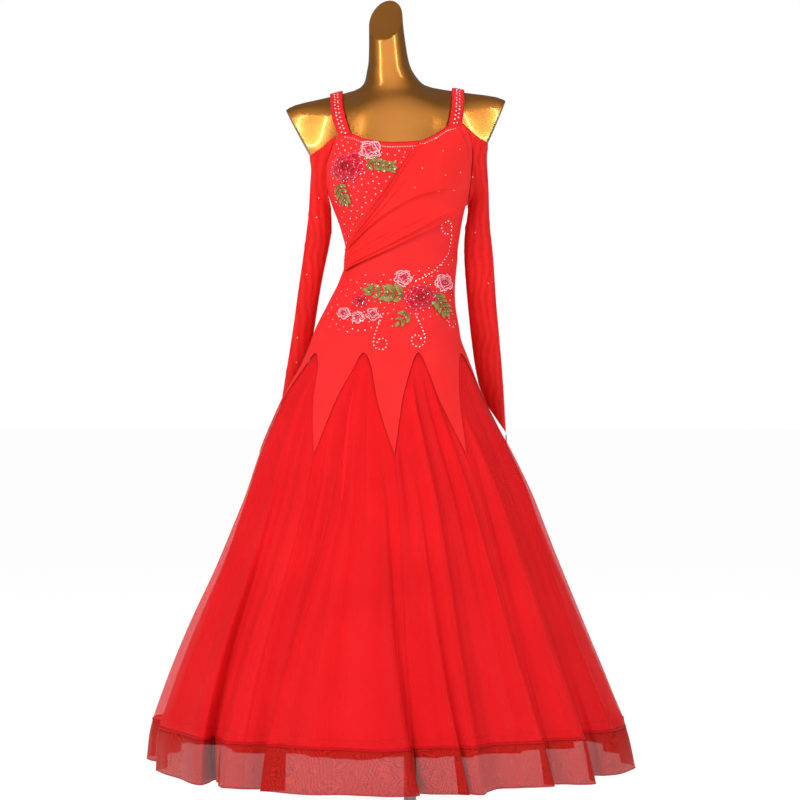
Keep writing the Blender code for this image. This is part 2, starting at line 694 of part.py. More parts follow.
def strap_end(x, table, front):
    """The turn at which a strap that runs over the shoulder meets the bodice's edge."""
    height = read_table(table, x, 1) + STRAP_SEAM_GAP
    turn = 0.3
    for _ in range(5):
        reach = abs(strap_point(x, turn if front else math.pi - turn).y - STRAP_CENTRE_Y)
        turn = math.atan2(height - STRAP_CENTRE, reach)
    return turn if front else math.pi - turn


def build_strap(name, material):
    """A flat strap over the shoulder, from the front edge to the back edge."""
    front_x, crest_x, back_x = STRAPS[name]
    pull = 2.0 * crest_x - 0.5 * (front_x + back_x)
    lines = []
    for side in (1, 0, -1):
        shift = side * STRAP_WIDTH / 2
        start = strap_end(front_x + shift, NECK_FRONT, True)
        end = strap_end(back_x + shift, NECK_BACK, False)
        line = []
        for step in steps(STRAP_ROWS):
            x = front_x * (1 - step) ** 2 + 2 * pull * step * (1 - step) + back_x * step ** 2
            line.append(strap_point(x + shift, mix(start, end, step)))
        lines.append(line)
    sheet(name, [list(row) for row in zip(*lines)], material, STRAP_THICKNESS)


def tube_row(section, side):
    """One round of a sleeve's tube, from its inner side to the front and outwards."""
    height, x, y, half_width, half_depth, slant = section
    row = []
    for share in steps(SLEEVE_COLUMNS):
        turn = 2.0 * math.pi * share
        outward = -math.cos(turn)
        row.append(Vector((x + side * half_width * outward, y - half_depth * math.sin(turn),
                           height - slant * outward)))
    return row


def head_rows(name, side):
    """Rows of a sleeve's head, each from the front armhole seam round to the back one."""
    (top_z, top_x), (low_z, low_x) = SLEEVE_HEADS[name]
    front_levels, back_levels = armhole_levels(side, True), armhole_levels(side, False)
    tube = tube_row(SLEEVE_TUBES[name][0], side)
    rows = []
    for number, levels in enumerate(zip(front_levels, back_levels)):
        down = number / len(front_levels)
        outer_x, outer_z = mix(top_x, low_x, down), mix(top_z, low_z, down)
        ends = []
        for level, front in zip(levels, (True, False)):
            step = SLEEVE_SEAM_GAP / BODICE_RADIUS * side * (1 if front else -1)
            turn = armhole_angle(level, side, front) + step
            ends.append(dress_point(turn, level, SLEEVE_LAP * down))
        row = [ends[0]]
        for share, under in list(zip(steps(SLEEVE_COLUMNS), tube))[1:-1]:
            seam = ends[0].lerp(ends[1], 0.5 - 0.5 * math.cos(math.pi * share))
            bulge = math.sin(math.pi * share)
            point = Vector((mix(seam.x, outer_x, bulge), seam.y, mix(seam.z, outer_z, bulge)))
            round_place = Vector((under.x, under.y, point.z))
            point = point.lerp(round_place, SLEEVE_ROUNDING * bulge * down ** 1.5)
            row.append(keep_off_form(point, seam.x - side * SLEEVE_PUSH_IN, SLEEVE_PUSH_Y))
        rows.append(row + [ends[1]])
    return rows


def build_sleeve(name, material):
    """A sleeve open along the armhole above the underarm, and a tube below it."""
    side = -1 if name == "sleeve_right" else 1
    rows = head_rows(name, side)
    joined_from = len(rows)
    rows += [tube_row(section, side) for section in SLEEVE_TUBES[name]]
    if side > 0:
        rows = [row[::-1] for row in rows]
    sheet(name, rows, material, ORGANZA_THICKNESS, joined_from)
    tip = min(rows[-1], key=lambda point: point.z)
    build_loop("finger_loop" + name[6:], tip, material)


def build_loop(name, tip, material):
    """The small elastic loop that hangs from the cuff's point."""
    curve = bpy.data.curves.new(name, "CURVE")
    curve.dimensions = "3D"
    curve.bevel_depth = LOOP_WIRE
    curve.bevel_resolution = 0
    spline = curve.splines.new("POLY")
    count = 8
    spline.points.add(count - 1)
    drop = LOOP_WIRE + SEAT_GAP
    for i, point in enumerate(spline.points):
        turn = 2.0 * math.pi * i / count
        point.co = (tip.x, tip.y + LOOP_WIDTH / 2 * math.sin(turn),
                    tip.z - drop - LOOP_LENGTH / 2 * (1.0 - math.cos(turn)), 1.0)
    spline.use_cyclic_u = True
    curve.materials.append(material)
    COLLECTION.objects.link(bpy.data.objects.new(name, curve))


def build_skirt(outer_material, inner_material, band_material):
    """Eight panels of each layer, and the stiff band below the outer one."""
    for panel in range(8):
        number = str(panel + 1)
        for name, per_side, count, inner in SKIRT_LAYERS:
            columns = seam_columns(panel, per_side)
            hem = INNER_HEM if inner else HEM_LINE + SEAM_GAP / 2
            material = inner_material if inner else outer_material
            lines = []
            for column, (angle, seam) in enumerate(columns):
                angle = trimmed(angle, column, len(columns))
                top = seam - seam_gap(seam) / 2 - inner * LAYER_DROP
                line = []
                for step in steps(count):
                    level = mix(top, hem, step ** ROW_CROWDING)
                    apart = smooth_step(0.0, LAYER_OPEN, step)
                    gap = inner * mix(LAYER_GAP_TOP, LAYER_GAP_HEM, apart)
                    line.append(skirt_point(angle, level, seam, gap))
                lines.append(line)
            rows = [list(row) for row in zip(*lines)]
            sheet(name + number, rows, material, ORGANZA_THICKNESS)
        columns = seam_columns(panel, SKIRT_LAYERS[0][1])
        rows = []
        for step in steps(BAND_ROWS):
            level = mix(HEM_LINE - SEAM_GAP / 2, HEM_HEIGHT, step)
            rows.append([skirt_point(trimmed(angle, i, len(columns)), level, seam, 0.0)
                         for i, (angle, seam) in enumerate(columns)])
        sheet("hem_band_" + number, rows, band_material, ORGANZA_THICKNESS)


def trimmed(angle, column, count):
    """Draw a panel's first and last column in by half a seam's gap."""
    gap = SEAM_GAP / 2 / HIP_RADIUS
    if column == 0:
        return angle + gap
    return angle - gap if column == count - 1 else angle


def build_flower(name, material):
    """A low rosette with a petalled outline, laid on the front of the bodice."""
    x, height, radius, petals = FLOWERS[name]
    around = petals * 2
    rows = []
    for size, rise in PETAL_RINGS:
        row = []
        for i in range(around + 1):
            turn = 2.0 * math.pi * i / around
            reach = radius * size * (1.0 if i % 2 == 0 else PETAL_NOTCH)
            out = LAID_ON + PETAL_RISE * rise
            row.append(front_point(x + reach * math.sin(turn), height + reach * math.cos(turn), out))
        rows.append(row)
    sheet(name, rows, material, APPLIQUE_THICKNESS, 0)


def build_sprig(name, material):
    """A sprig of pointed leaves as one strip with a raised midrib."""
    (root_x, root_z), (tip_x, tip_z), half_width, pairs = SPRIGS[name]
    length = math.hypot(tip_x - root_x, tip_z - root_z)
    way_x, way_z = (tip_x - root_x) / length, (tip_z - root_z) / length
    rows = []
    for number, share in enumerate(steps(pairs * 2)):
        leaf_tip = number % 2 == 1
        reach = half_width * (1.0 if leaf_tip else LEAF_NOTCH) * (1.0 - LEAF_TAPER * share)
        forward = LEAF_LEAN / pairs if leaf_tip else 0.0
        row = []
        for side in (-1, 0, 1):
            place = length * (share + (forward if side else 0.0))
            x = root_x + way_x * place - side * way_z * reach
            z = root_z + way_z * place + side * way_x * reach
            rise = 0.0 if side else LEAF_RISE
            row.append(front_point(x, z, LAID_ON + rise))
        rows.append(row)
    sheet(name, rows, material, APPLIQUE_THICKNESS)


def build_dress_and_form():
    gold = make_material("gold_gloss", (0.60, 0.36, 0.11), 0.16, 0.9)
    steel = make_material("stand_steel", (0.45, 0.42, 0.40), 0.3, 1.0)
    crepe = make_material("crepe_red", (0.90, 0.045, 0.05), 0.6)
    drape = make_material("drape_red", (0.90, 0.04, 0.045), 0.6)
    strap = make_material("strap_red", (0.88, 0.04, 0.045), 0.6)
    mesh_cloth = make_material("mesh_red", (0.78, 0.03, 0.04), 0.6, alpha=0.85)
    organza = make_material("organza_red", (0.85, 0.02, 0.03), 0.5, alpha=0.6)
    satin = make_material("satin_red", (0.82, 0.02, 0.03), 0.4)
    crinoline = make_material("crinoline_red", (0.75, 0.10, 0.10), 0.5, alpha=0.5)
    petals = make_material("petal_red", (0.62, 0.03, 0.08), 0.6)
    leaves = make_material("leaf_olive", (0.35, 0.32, 0.08), 0.5)

    build_stand(steel)
    build_form(gold)
    bodice_half("bodice_front", True, crepe)
    bodice_half("bodice_back", False, crepe)
    build_drape(drape)
    for name in STRAPS:
        build_strap(name, strap)
    for name in SLEEVE_TUBES:
        build_sleeve(name, mesh_cloth)
    build_skirt(organza, satin, crinoline)
    for name in FLOWERS:
        build_flower(name, petals)
    for name in SPRIGS:
        build_sprig(name, leaves)


clear_scene()
COLLECTION = bpy.data.collections.new("ballroom_dress")
FORM_FACES = []
bpy.context.scene.collection.children.link(COLLECTION)
build_dress_and_form()
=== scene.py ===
"""Looks of a ballroom dance dress on its limbless dress form.

Metres, +Z up. The front faces -Y and the wearer's right is at -X. An angle of 0
is the front and 90 degrees is +X, as on the solids that this dresses.
"""
import json
import math

import bmesh
import bpy
import numpy as np
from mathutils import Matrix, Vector
from mathutils.bvhtree import BVHTree

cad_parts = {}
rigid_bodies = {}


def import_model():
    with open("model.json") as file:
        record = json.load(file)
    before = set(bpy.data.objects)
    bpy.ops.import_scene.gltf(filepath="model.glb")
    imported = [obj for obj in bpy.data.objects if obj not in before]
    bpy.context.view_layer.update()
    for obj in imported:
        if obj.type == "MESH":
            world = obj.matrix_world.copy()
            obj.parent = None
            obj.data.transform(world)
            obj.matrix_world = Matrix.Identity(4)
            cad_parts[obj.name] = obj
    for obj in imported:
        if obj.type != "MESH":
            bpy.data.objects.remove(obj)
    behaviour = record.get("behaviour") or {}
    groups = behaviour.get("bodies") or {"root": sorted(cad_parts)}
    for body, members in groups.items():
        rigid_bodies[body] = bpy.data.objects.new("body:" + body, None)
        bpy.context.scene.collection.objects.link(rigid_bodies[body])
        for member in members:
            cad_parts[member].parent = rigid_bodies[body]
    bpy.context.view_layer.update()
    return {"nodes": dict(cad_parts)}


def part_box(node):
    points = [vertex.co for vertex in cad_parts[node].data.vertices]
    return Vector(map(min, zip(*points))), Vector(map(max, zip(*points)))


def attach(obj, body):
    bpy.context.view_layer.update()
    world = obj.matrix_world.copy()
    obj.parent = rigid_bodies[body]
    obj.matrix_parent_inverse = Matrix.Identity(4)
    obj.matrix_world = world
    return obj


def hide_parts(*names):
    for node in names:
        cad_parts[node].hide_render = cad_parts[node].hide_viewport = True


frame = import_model()

# Form: level, centre x, centre y, half width, half depth, reach of the shoulder bar,
# half depth of the shoulder bar
FORM_SECTIONS = [
    (0.720, -0.041, 0.004, 0.128, 0.100, 0.020, 0.020),
    (0.760, -0.042, 0.006, 0.137, 0.110, 0.020, 0.020),
    (0.800, -0.042, 0.007, 0.139, 0.113, 0.020, 0.020),
    (0.840, -0.042, 0.005, 0.1340, 0.109, 0.020, 0.020),
    (0.869, -0.042, 0.003, 0.1285, 0.104, 0.020, 0.020),
    (0.890, -0.0397, 0.001, 0.1228, 0.099, 0.020, 0.020),
    (0.932, -0.0326, 0.000, 0.1088, 0.090, 0.020, 0.020),
    (0.975, -0.0220, 0.000, 0.0983, 0.081, 0.020, 0.020),
    (1.017, -0.0140, 0.000, 0.0940, 0.077, 0.020, 0.020),
    (1.060, -0.0160, -0.002, 0.1010, 0.082, 0.020, 0.020),
    (1.081, -0.0176, -0.003, 0.1062, 0.086, 0.020, 0.020),
    (1.110, -0.0195, -0.004, 0.1150, 0.091, 0.020, 0.020),
    (1.150, -0.0210, -0.003, 0.1250, 0.096, 0.040, 0.020),
    (1.187, -0.0215, 0.000, 0.1270, 0.096, 0.143, 0.040),
    (1.210, -0.0220, 0.002, 0.1270, 0.093, 0.186, 0.046),
    (1.235, -0.0230, 0.005, 0.1240, 0.088, 0.202, 0.049),
    (1.265, -0.0240, 0.008, 0.1120, 0.080, 0.203, 0.046),
    (1.282, -0.0245, 0.010, 0.0980, 0.074, 0.196, 0.039),
    (1.292, -0.0250, 0.011, 0.0850, 0.069, 0.178, 0.031),
    (1.300, -0.0270, 0.012, 0.0740, 0.064, 0.135, 0.026),
    (1.308, -0.0290, 0.0125, 0.0640, 0.059, 0.090, 0.024),
    (1.318, -0.0310, 0.013, 0.0550, 0.055, 0.040, 0.020),
    (1.330, -0.0330, 0.012, 0.0465, 0.050, 0.010, 0.010),
    (1.345, -0.0365, 0.010, 0.0400, 0.045, 0.010, 0.010),
    (1.362, -0.0380, 0.008, 0.0355, 0.040, 0.010, 0.010),
    (1.390, -0.0400, 0.005, 0.0325, 0.037, 0.010, 0.010),
    (1.430, -0.0425, 0.002, 0.0300, 0.035, 0.010, 0.010),
    (1.485, -0.0440, 0.000, 0.0285, 0.034, 0.010, 0.010),
]
# Skirt over the flutes: level, centre x, centre y, half width, half depth
SKIRT_SECTIONS = [
    (0.130, -0.0300, 0.000, 0.4330, 0.410),
    (0.180, -0.0340, 0.000, 0.4250, 0.402),
    (0.260, -0.0380, 0.000, 0.3960, 0.375),
    (0.366, -0.0400, 0.000, 0.3510, 0.331),
    (0.472, -0.0385, 0.000, 0.3030, 0.283),
    (0.578, -0.0385, 0.001, 0.2590, 0.236),
    (0.678, -0.0445, 0.002, 0.2180, 0.192),
    (0.763, -0.0480, 0.003, 0.1790, 0.152),
    (0.791, -0.0460, 0.004, 0.1657, 0.139),
    (0.826, -0.0425, 0.004, 0.1490, 0.123),
    (0.848, -0.0420, 0.004, 0.1400, 0.115),
    (0.869, -0.0420, 0.003, 0.1320, 0.108),
    (0.900, -0.0380, 0.001, 0.1230, 0.100),
]
SOCKET_RADIUS = 0.020
SOCKET_DROP = 0.018
SHOULDER_BLEND = 5
TILT = (0.040, 1.060, 1.200)           # slope of the shoulders, levels where it sets in
CLEARANCE = 0.0034                     # cloth to form
ARM_EASE = (0.0040, 1.120, 1.180, 0.70, 0.93)
BUST = (0.022, 1.158, 0.062, 0.046, 0.052)   # fullness, height, spread, width, tallness
FLARE = (0.850, 0.890)                 # levels between which the skirt's flare sets in
HEM_HEIGHT, HEM_LINE, INNER_HEM = 0.130, 0.202, 0.1840
INNER_STITCH = 0.212
GODET_TOP, YOKE_POINT, YOKE_LINE = 0.846, 0.672, 0.885
SEAM_ROUNDNESS = 1.8
FLUTE_DEPTH, FLUTE_GROWTH = 0.040, 1.35
CREASE_DEPTH, LAP_GROWTH = 1.7, 1.6
LAYER_GAP = (0.0023, 0.026, 0.75)      # at the top, at the hem, where it is fully open
UNDERARM = 1.100
ROW_CROWDING = 0.9                     # below 1, rows crowd towards the hip seam
OUTER_COLUMNS, INNER_COLUMNS = 34, 28  # columns each side of a godet's top
# Thickness of the cloths, and radius of the cords
CREPE_WALL, STRAP_WALL, ORGANZA_WALL, SATIN_WALL = 0.0009, 0.0014, 0.0004, 0.0006
BAND_WALL, NET_WALL, EMBROIDERY_WALL = 0.0005, 0.0005, 0.0005
HEM_ROLL, CORD, EDGE_THREAD = 0.0016, 0.0009, 0.0006
STITCH, STITCH_PITCH = (0.0011, 0.00025, 0.00022), 0.0034
FINE_BUMP = 0.0002

ARM_CUTS = [((-0.2180, 0.0, 1.2740), (-0.880, -0.05, -0.475)),
            ((0.1700, 0.0, 1.2950), (0.916, -0.05, -0.400))]
NECK_CUT = ((-0.043, 0.0, 1.432), (-0.22, -0.74, 0.62))
CUTS_ABOVE = 1.140
YOKE_POINTS = [-87.0, -36.0, 5.0, 42.5, 93.0, 138.0, 183.0, 228.0, 273.0]
GODET_TOPS = [-65.0, -19.0, 28.0, 71.0, 116.0, 160.0, 205.0, 250.0]

# Large folds between the flutes: angle, half width, share of the full depth, and how far
# one side laps over the fold at the hem (+ the side of the higher angle, - the other)
FOLDS = [
    (-76.0, 6.5, 0.85, 0.034), (-52.0, 6.0, 1.00, -0.084), (-26.0, 6.5, 1.00, 0.092),
    (3.0, 5.5, 1.00, -0.066), (15.5, 4.5, 0.70, -0.052), (27.0, 4.5, 0.90, 0.046),
    (40.0, 5.5, 0.90, -0.074), (61.0, 6.0, 1.00, 0.044), (83.0, 6.5, 0.80, -0.034),
    (104.0, 6.5, 0.95, 0.052), (125.0, 6.0, 0.80, -0.050), (147.0, 6.5, 1.00, 0.064),
    (168.0, 6.0, 0.85, -0.040), (190.0, 6.5, 0.95, 0.060), (211.0, 6.0, 1.00, -0.062),
    (232.0, 6.5, 0.80, 0.040), (256.0, 7.0, 1.00, -0.046),
]
# Small creases that run down the skirt: angle, half width, depth, where they start
CREASES = [
    (-83.0, 1.8, 0.0045, 0.25), (-69.0, 1.5, -0.0040, 0.10), (-63.0, 2.0, 0.0060, 0.35),
    (-57.5, 1.3, -0.0030, 0.05), (-45.5, 1.6, 0.0050, 0.20), (-40.5, 1.2, -0.0035, 0.40),
    (-33.0, 2.2, 0.0055, 0.15), (-20.5, 1.4, -0.0040, 0.05), (-16.5, 1.8, 0.0060, 0.30),
    (-11.0, 1.3, 0.0035, 0.10), (-6.5, 1.7, -0.0045, 0.45), (-1.5, 1.2, 0.0030, 0.20),
    (8.5, 1.6, 0.0050, 0.10), (12.0, 1.1, -0.0030, 0.35), (20.5, 1.5, -0.0045, 0.05),
    (23.0, 1.1, 0.0030, 0.25), (31.5, 1.7, 0.0050, 0.15), (35.5, 1.3, -0.0035, 0.05),
    (45.5, 1.6, 0.0055, 0.30), (51.0, 2.0, -0.0045, 0.10), (55.5, 1.4, 0.0040, 0.20),
    (67.0, 1.8, 0.0050, 0.05), (73.0, 1.5, -0.0040, 0.25), (78.0, 1.9, 0.0055, 0.40),
    (88.0, 1.6, -0.0040, 0.10), (95.0, 1.9, 0.0055, 0.25), (111.0, 1.6, -0.0045, 0.15),
    (118.0, 2.1, 0.0060, 0.05), (132.0, 1.7, -0.0040, 0.30), (139.0, 1.9, 0.0050, 0.10),
    (154.0, 1.5, 0.0045, 0.20), (161.0, 1.8, -0.0050, 0.05), (175.0, 1.6, 0.0050, 0.35),
    (182.0, 1.4, -0.0035, 0.15), (198.0, 1.8, 0.0055, 0.10), (204.0, 1.4, -0.0040, 0.25),
    (218.0, 1.7, 0.0050, 0.05), (225.0, 1.9, -0.0045, 0.30), (240.0, 1.6, 0.0055, 0.15),
    (247.0, 1.5, -0.0040, 0.40), (264.0, 1.8, 0.0050, 0.10),
]

# Armhole: level, x on the wearer's right, x on the wearer's left
ARMHOLE = [
    (1.140, -0.1470, 0.1050), (1.172, -0.1460, 0.1085), (1.205, -0.1360, 0.1075),
    (1.230, -0.1244, 0.0990), (1.247, -0.1180, 0.0873),
]
# Top edges: x, height
NECK_FRONT = [
    (-0.1244, 1.2290), (-0.1030, 1.2255), (-0.0755, 1.2129), (-0.0340, 1.2075),
    (0.0133, 1.2093), (0.0426, 1.2218), (0.0650, 1.2380), (0.0873, 1.2440),
]
NECK_BACK = [
    (-0.1244, 1.2260), (-0.1030, 1.2180), (-0.0650, 1.1980), (-0.0200, 1.1900),
    (0.0250, 1.1970), (0.0600, 1.2170), (0.0873, 1.2340),
]
# Draped overlay: x and height of its gathered end and of its spread end, upper side first
DRAPE_WAIST = [(-0.1095, 1.0290), (-0.1115, 1.0080), (-0.1120, 0.9870)]
DRAPE_TOP = [
    (0.0180, 1.2060), (0.0450, 1.2210), (0.0760, 1.2400), (0.0960, 1.2080),
    (0.1030, 1.1600), (0.0955, 1.1170), (0.0870, 1.0870),
]
# Tucks of the drape: place across it at the waist and at the bust, how it gets there, height,
# how sharply it breaks, and how far along it starts to fade
TUCKS = [
    (0.020, 0.020, 1.0, 0.0036, 0.020, 2.0), (0.040, 0.740, 0.6, 0.0062, 0.018, 0.85),
    (0.880, 0.880, 1.0, 0.0052, 0.018, 2.0), (0.988, 0.988, 1.0, 0.0036, 0.020, 2.0),
    (0.300, 0.860, 0.7, 0.0030, 0.026, 0.45), (0.500, 0.900, 0.8, 0.0034, 0.026, 0.60),
    (0.680, 0.840, 0.9, 0.0030, 0.024, 0.50), (0.020, 0.420, 0.7, 0.0028, 0.036, 0.65),
    (0.780, 0.930, 0.9, 0.0024, 0.024, 0.55),
]
# Creases of the bodice: two ends as x and height, half width, depth, and front or back
BODICE_CREASES = [
    (-0.138, 1.105, -0.095, 1.062, 0.006, 0.0016, 1),
    (-0.126, 1.068, -0.080, 1.050, 0.005, 0.0012, 1),
    (-0.112, 1.040, -0.070, 1.035, 0.004, -0.0010, 1),
    (-0.108, 0.985, -0.040, 1.000, 0.005, 0.0014, 1),
    (-0.112, 0.965, -0.060, 0.972, 0.004, -0.0010, 1),
    (0.078, 1.035, 0.020, 1.010, 0.005, 0.0014, 1),
    (0.080, 1.000, 0.010, 0.985, 0.006, 0.0013, 1),
    (0.072, 0.960, 0.030, 0.945, 0.004, -0.0009, 1),
    (-0.150, 0.900, -0.105, 0.865, 0.006, 0.0014, 1),
    (0.070, 0.905, 0.035, 0.860, 0.006, 0.0013, 1),
    (-0.118, 1.210, -0.128, 1.150, 0.005, -0.0012, 1),
    (-0.052, 0.860, -0.045, 0.790, 0.008, -0.0016, 1),
    (0.030, 0.870, 0.026, 0.800, 0.008, 0.0016, 1),
    (-0.100, 0.850, -0.110, 0.790, 0.008, 0.0014, 1),
    (-0.105, 1.050, -0.020, 1.012, 0.006, 0.0018, 0),
    (-0.108, 1.018, -0.030, 0.995, 0.005, 0.0014, 0),
    (0.076, 1.048, 0.000, 1.008, 0.006, 0.0018, 0),
    (0.078, 1.008, 0.015, 0.990, 0.005, -0.0012, 0),
    (-0.020, 1.180, -0.018, 0.900, 0.010, 0.0022, 0),
    (-0.130, 1.120, -0.080, 1.090, 0.006, 0.0012, 0),
    (0.095, 1.120, 0.050, 1.085, 0.006, 0.0012, 0),
    (-0.100, 0.860, -0.090, 0.790, 0.008, 0.0015, 0),
    (0.030, 0.870, 0.022, 0.800, 0.008, -0.0014, 0),
]
# Straps: x of the middle at the front edge, on the shoulder's crest and at the back edge
STRAPS = {
    "strap_right": (-0.1115, -0.1290, -0.1020),
    "strap_left": (0.0745, 0.0840, 0.0650),
}
STRAP_AXIS = (0.008, 1.215)
STRAP_WIDTH, STRAP_RISE, STRAP_OVERLAP = 0.0215, 0.0052, 0.0055
STONE_PITCH = 0.0088
# Sleeves below the underarm: height, centre x, centre y
SLEEVE_AXES = {
    "sleeve_right": [
        (0.733, -0.2225, 0.110), (0.784, -0.2110, 0.086), (0.827, -0.2010, 0.066),
        (0.890, -0.1890, 0.044), (0.954, -0.1800, 0.026), (1.017, -0.1680, 0.012),
        (1.060, -0.1600, 0.004), (1.094, -0.1590, -0.003),
    ],
    "sleeve_left": [
        (0.731, 0.1540, 0.094), (0.784, 0.1460, 0.074), (0.827, 0.1400, 0.058),
        (0.890, 0.1325, 0.038), (0.954, 0.1260, 0.022), (1.017, 0.1215, 0.011),
        (1.060, 0.1190, 0.005), (1.091, 0.1215, 0.000),
    ],
}
# Creases across a sleeve: height, turn in degrees, slope, half height, depth
SLEEVE_CREASES = [
    (1.085, 40.0, 0.012, 0.0050, 0.0016), (1.066, 200.0, -0.010, 0.0055, 0.0018),
    (1.045, 330.0, 0.014, 0.0045, 0.0014), (1.010, 120.0, 0.016, 0.0060, 0.0012),
    (0.972, 250.0, -0.014, 0.0055, 0.0016), (0.945, 60.0, 0.018, 0.0050, 0.0018),
    (0.930, 180.0, 0.010, 0.0045, 0.0016), (0.915, 300.0, -0.016, 0.0050, 0.0014),
    (0.880, 90.0, 0.014, 0.0055, 0.0012), (0.846, 220.0, -0.012, 0.0050, 0.0014),
    (0.812, 20.0, 0.012, 0.0045, 0.0012), (0.790, 150.0, 0.014, 0.0040, 0.0012),
    (0.768, 280.0, -0.012, 0.0035, 0.0012), (0.752, 60.0, 0.010, 0.0035, 0.0010),
]
# Flowers: x, height, radius, petals in the outer ring, and their finish
FLOWERS = {
    "flower_rose_upper": (-0.0700, 1.1930, 0.0185, 5, "petal_pink"),
    "flower_peony_upper": (-0.1080, 1.1660, 0.0290, 6, "petal_red"),
    "flower_hip_large": (0.0170, 0.9400, 0.0260, 6, "petal_red"),
    "flower_hip_top": (-0.0115, 0.9740, 0.0150, 5, "petal_pink"),
    "flower_hip_side": (0.0570, 0.9680, 0.0160, 5, "petal_pink"),
    "flower_hip_small_1": (-0.0840, 0.9330, 0.0110, 5, "petal_red"),
    "flower_hip_small_2": (-0.1130, 0.9130, 0.0115, 5, "petal_pink"),
    "flower_hip_small_3": (-0.0900, 0.9050, 0.0115, 5, "petal_pink"),
    "flower_hip_small_4": (-0.0640, 0.9110, 0.0115, 5, "petal_pink"),
}
# Rings of petals: share of the radius where they start and end, width, lift, lean
PETAL_RINGS = [(0.12, 1.00, 0.62, 0.0008, 0.0), (0.08, 0.74, 0.50, 0.0018, 0.5),
               (0.04, 0.46, 0.34, 0.0027, 0.2)]
# Leaf sprigs: x and height at the root, x and height at the tip, leaf length, leaf pairs
SPRIGS = {
    "leaves_upper_1": ((-0.0740, 1.1710), (-0.0290, 1.1630), 0.0190, 5),
    "leaves_upper_2": ((-0.1240, 1.1380), (-0.1100, 1.1060), 0.0175, 4),
    "leaves_hip_1": ((-0.0110, 0.9430), (-0.0730, 0.9530), 0.0240, 5),
    "leaves_hip_2": ((0.0420, 0.9480), (0.0620, 0.9150), 0.0200, 4),
    "leaves_hip_3": ((-0.0040, 0.9140), (-0.0200, 0.8960), 0.0170, 2),
}
LAID_ON = 0.0010
STONE_HEIGHT = 0.42

# Curls of stones on the hip: start, middle of the curl, first and last radius, turns, hand
CURLS = [
    ((-0.047, 0.912), (-0.050, 0.861), 0.0135, 0.0060, 1.05, 1),
    ((0.009, 0.912), (0.012, 0.867), 0.0135, 0.0060, 1.05, -1),
    ((0.071, 0.925), (0.0745, 0.897), 0.0065, 0.0040, 0.80, 1),
]
# Scattered stones: heights with x of the drape's edge and of the side, and x with the middle
# height and half width of the belt on the hip
CHEST_EDGE = ([1.029, 1.056, 1.097, 1.127, 1.169, 1.204, 1.22],
              [-0.112, -0.100, -0.068, -0.042, -0.013, 0.010, 0.016])
CHEST_SIDE = ([1.029, 1.10, 1.15, 1.20, 1.23], [-0.108, -0.128, -0.138, -0.134, -0.118])
HIP_BELT = ([-0.135, -0.08, -0.02, 0.04, 0.08], [0.922, 0.928, 0.940, 0.950, 0.958],
            [0.040, 0.054, 0.046, 0.050, 0.060])
# The long stone line beside the curls: x and height
STONE_STEM = [
    (0.010, 0.970), (0.026, 0.977), (0.043, 0.989), (0.056, 1.002), (0.068, 1.021),
    (0.071, 1.038), (0.073, 1.055),
]


def steps(count):
    return np.linspace(0.0, 1.0, count + 1)


def mix(low, high, share):
    return low + (high - low) * share


def smooth_step(low, high, value):
    share = np.clip((value - low) / (high - low), 0.0, 1.0)
    return share * share * (3.0 - 2.0 * share)


def curve(rows, column):
    """A smooth curve through one column of a table against its first, with no overshoot."""
    keys = np.array([row[0] for row in rows], float)
    values = np.array([row[column] for row in rows], float)
    slopes = np.diff(values) / np.diff(keys)
    before, after = slopes[:-1], slopes[1:]
    total = np.where(before * after > 0.0, before + after, 1.0)
    inner = np.where(before * after > 0.0, 2.0 * before * after / total, 0.0)
    tangents = np.concatenate([slopes[:1], inner, slopes[-1:]])

    def read(key):
        key = np.clip(key, keys[0], keys[-1])
        i = np.clip(np.searchsorted(keys, key, side="right") - 1, 0, len(keys) - 2)
        span = keys[i + 1] - keys[i]
        t = (key - keys[i]) / span
        return ((2 * t ** 3 - 3 * t ** 2 + 1) * values[i]
                + (t ** 3 - 2 * t ** 2 + t) * span * tangents[i]
                + (3 * t ** 2 - 2 * t ** 3) * values[i + 1]
                + (t ** 3 - t ** 2) * span * tangents[i + 1])
    return read


form_x, form_y, form_width, form_depth, form_reach, form_bar = [
    curve(FORM_SECTIONS, column) for column in range(1, 7)]
skirt_x, skirt_y, skirt_width, skirt_depth = [curve(SKIRT_SECTIONS, column) for column in range(1, 5)]


def place(x, y, z):
    return np.stack(np.broadcast_arrays(x, y, z), -1)


def unit(vectors):
    return vectors / np.maximum(np.linalg.norm(vectors, axis=-1, keepdims=True), 1e-12)


def ellipse_radius(angle, half_width, half_depth):
    return 1.0 / np.hypot(np.sin(angle) / half_width, np.cos(angle) / half_depth)


def form_radius(angle, level):
    chest = ellipse_radius(angle, form_width(level), form_depth(level))
    shoulder = ellipse_radius(angle, form_reach(level), form_bar(level))
    return (chest ** SHOULDER_BLEND + shoulder ** SHOULDER_BLEND) ** (1.0 / SHOULDER_BLEND)


def tilt_at(level):
    return TILT[0] * smooth_step(TILT[1], TILT[2], level)


def form_point(angle, level, clearance=0.0):
    radius = form_radius(angle, level) + clearance
    x = radius * np.sin(angle)
    fullness, height, spread, width, tallness = BUST
    front = np.clip(2.0 * np.cos(angle), 0.0, 1.0)
    across = sum(np.exp(-((x - side * spread) / width) ** 2) for side in (-1, 1))
    bust = fullness * front * np.exp(-((level - height) / tallness) ** 2) * across
    return place(form_x(level) + x, form_y(level) - radius * np.cos(angle) - bust,
                 level + tilt_at(level) * x)


